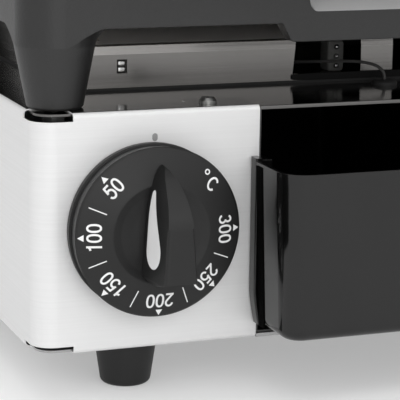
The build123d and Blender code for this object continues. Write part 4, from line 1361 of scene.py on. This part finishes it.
@dataclass
class UpperGrill(SubAssembly):
    """Tilting upper casting with its heater, lid and side pivots."""

    nodes: tuple[str, ...] = (
        "upper_grill_plate",
        "upper_heater",
        "upper_insulation",
        "upper_cover",
        "plate_bolts",
        "pivot_bolt_left",
        "pivot_bolt_right",
        "pivot_bush_left",
        "pivot_bush_right",
    )


@dataclass
class LiftingArm(SubAssembly):
    """Tube arm with its handle, hubs, shaft, springs, brackets and cover."""

    nodes: tuple[str, ...] = (
        "arm_tube",
        "handle_grip",
        "arm_hub_left",
        "arm_hub_right",
        "hinge_shaft",
        "hinge_bush_left",
        "hinge_bush_right",
        "hinge_spring_left",
        "hinge_spring_right",
        "hinge_bracket_left",
        "hinge_bracket_right",
        "bracket_screws",
        "hinge_cover",
    )


@dataclass
class MainsInlet(SubAssembly):
    """Gland with its nut, and the terminal block behind it."""

    nodes: tuple[str, ...] = ("cable_gland", "gland_nut", "terminal_block")


@dataclass
class Lamp:
    """Square soft box that faces the grill."""

    name: str
    place: tuple[float, float, float]
    size: float
    power: float
    aim: tuple[float, float, float] = (0.0, 0.0, 0.1)

    def build(self) -> None:
        """Hang the lamp and turn it to its aim, the middle of the cabinet."""
        lamp = bpy.data.lights.new(self.name, "AREA")
        lamp.shape = "SQUARE"
        lamp.size = self.size
        lamp.energy = self.power
        made = bpy.data.objects.new(self.name, lamp)
        made.location = self.place
        ahead = Vector(self.aim) - Vector(self.place)
        made.rotation_euler = ahead.to_track_quat("-Z", "Y").to_euler()
        bpy.context.scene.collection.objects.link(made)


@dataclass
class Studio:
    """Pale floor, soft lamps and even world light.

    The floor rises behind the object: z = rise (y - bend)^2 past y = bend.
    """

    floor_level: float = 0.93
    floor_white: float = 0.3
    world_level: float = 0.6
    half_width: float = 6.0
    front: float = -5.0
    back: float = 3.2
    bend: float = 1.6
    rise: float = 1.2
    columns: int = 5
    rows: int = 42
    lamps: tuple[Lamp, ...] = (
        Lamp("left_softbox", (-1.6, -0.7, 1.2), 1.2, 4.0),
        Lamp("top_softbox", (-0.1, -0.35, 1.9), 1.6, 11.0),
        Lamp("front_softbox", (-0.32, -2.2, 0.9), 1.5, 12.4),
        Lamp("right_softbox", (1.1, -1.6, 1.3), 1.2, 5.0),
    )

    def floor_material(self) -> bpy.types.Material:
        """Make matt paper that is partly white to the camera and to glossy surfaces.

        Its shadows stay, because only a share of the white is mixed in.

        Returns:
            The paper's material.
        """
        paint = Paint("studio_floor")
        level = paint.noise(paint.place(), 3.0, 2)
        base = paint.mix(level, grey(self.floor_level * 0.99), grey(self.floor_level))
        paper = paint.node(
            "ShaderNodeBsdfPrincipled", None, {"Base Color": base, "Roughness": 0.7}
        )
        white = paint.node("ShaderNodeEmission", None, {"Color": grey(1.0)})
        seen = paint.node("ShaderNodeLightPath", output="Is Camera Ray")
        for ray in ("Is Glossy Ray", "Is Transmission Ray"):
            seen = seen + paint.node("ShaderNodeLightPath", output=ray)
        sockets = {0: seen * self.floor_white, 1: paper, 2: white}
        return paint.close(paint.node("ShaderNodeMixShader", None, sockets))

    def floor(self) -> None:
        """Lay the floor as one grid of points."""
        across = np.linspace(-self.half_width, self.half_width, self.columns)
        along = np.linspace(self.front, self.back, self.rows)
        x, y = np.meshgrid(across, along, indexing="ij")
        z = self.rise * np.clip(y - self.bend, 0, None) ** 2
        points = np.stack([x, y, z], axis=-1).reshape(-1, 3)
        columns, rows = np.arange(self.columns - 1), np.arange(self.rows - 1)
        column, row = np.meshgrid(columns, rows, indexing="ij")
        first = (column * self.rows + row).ravel()
        faces = np.c_[first, first + self.rows, first + self.rows + 1, first + 1]
        made = surface_object("studio_floor", points, faces, smooth=True)
        made.data.materials.append(self.floor_material())
        made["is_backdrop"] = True

    def light(self) -> None:
        """Set the world's colour and hang the lamps."""
        world = bpy.data.worlds.new("studio")
        bpy.context.scene.world = world
        world.use_nodes = True
        sky = world.node_tree.nodes["Background"]
        sky.inputs["Color"].default_value = grey(1.0)
        sky.inputs["Strength"].default_value = self.world_level
        for lamp in self.lamps:
            lamp.build()


@dataclass
class PhotoCamera:
    """Long lens close to the front left corner, as the photograph was taken."""

    place: tuple[float, float, float] = (-0.36916, -0.85168, 0.24951)
    yaw: float = 20.771
    pitch: float = 12.091
    roll: float = 0.735
    lens: float = 164.04
    sensor: float = 36.0
    nearest: float = 0.01
    farthest: float = 50.0

    def build(self) -> None:
        """Aim the camera: its axes are the yawed and pitched ones turned by the roll."""
        yaw, pitch, roll = np.radians([self.yaw, self.pitch, self.roll])
        ahead = np.array(
            [np.sin(yaw) * np.cos(pitch), np.cos(yaw) * np.cos(pitch), -np.sin(pitch)]
        )
        flat = np.array([np.cos(yaw), -np.sin(yaw), 0.0])
        above = np.cross(flat, ahead)
        right = np.cos(roll) * flat + np.sin(roll) * above
        up = -np.sin(roll) * flat + np.cos(roll) * above
        turn = Matrix(np.stack([right, up, -ahead], axis=1).tolist()).to_4x4()
        data = bpy.data.cameras.new("photo_camera")
        data.lens = self.lens
        data.sensor_width = self.sensor
        data.clip_start = self.nearest
        data.clip_end = self.farthest
        made = bpy.data.objects.new("photo_camera", data)
        made.matrix_world = Matrix.Translation(self.place) @ turn
        bpy.context.scene.collection.objects.link(made)
        bpy.context.scene.camera = made


def main() -> None:
    """Dress the frame, add the new pieces, the studio and the camera, note the sizes."""
    logging.basicConfig(level=logging.INFO, format="%(message)s")
    bpy.context.scene.view_settings.view_transform = "Standard"
    low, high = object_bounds()
    sizes = {"cad_low": list(low), "cad_high": list(high)}
    for group in (Cabinet, Thermostat, GreaseTray, LowerGrill, UpperGrill, LiftingArm, MainsInlet):
        group().build()
        LOG.info("%s done", group.__name__)
    studio = Studio()
    studio.floor()
    studio.light()
    PhotoCamera().build()
    low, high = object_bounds()
    sizes |= {"scene_low": list(low), "scene_high": list(high)}
    LOG.info("sizes %s", sizes)


if __name__ == "__main__":
    main()
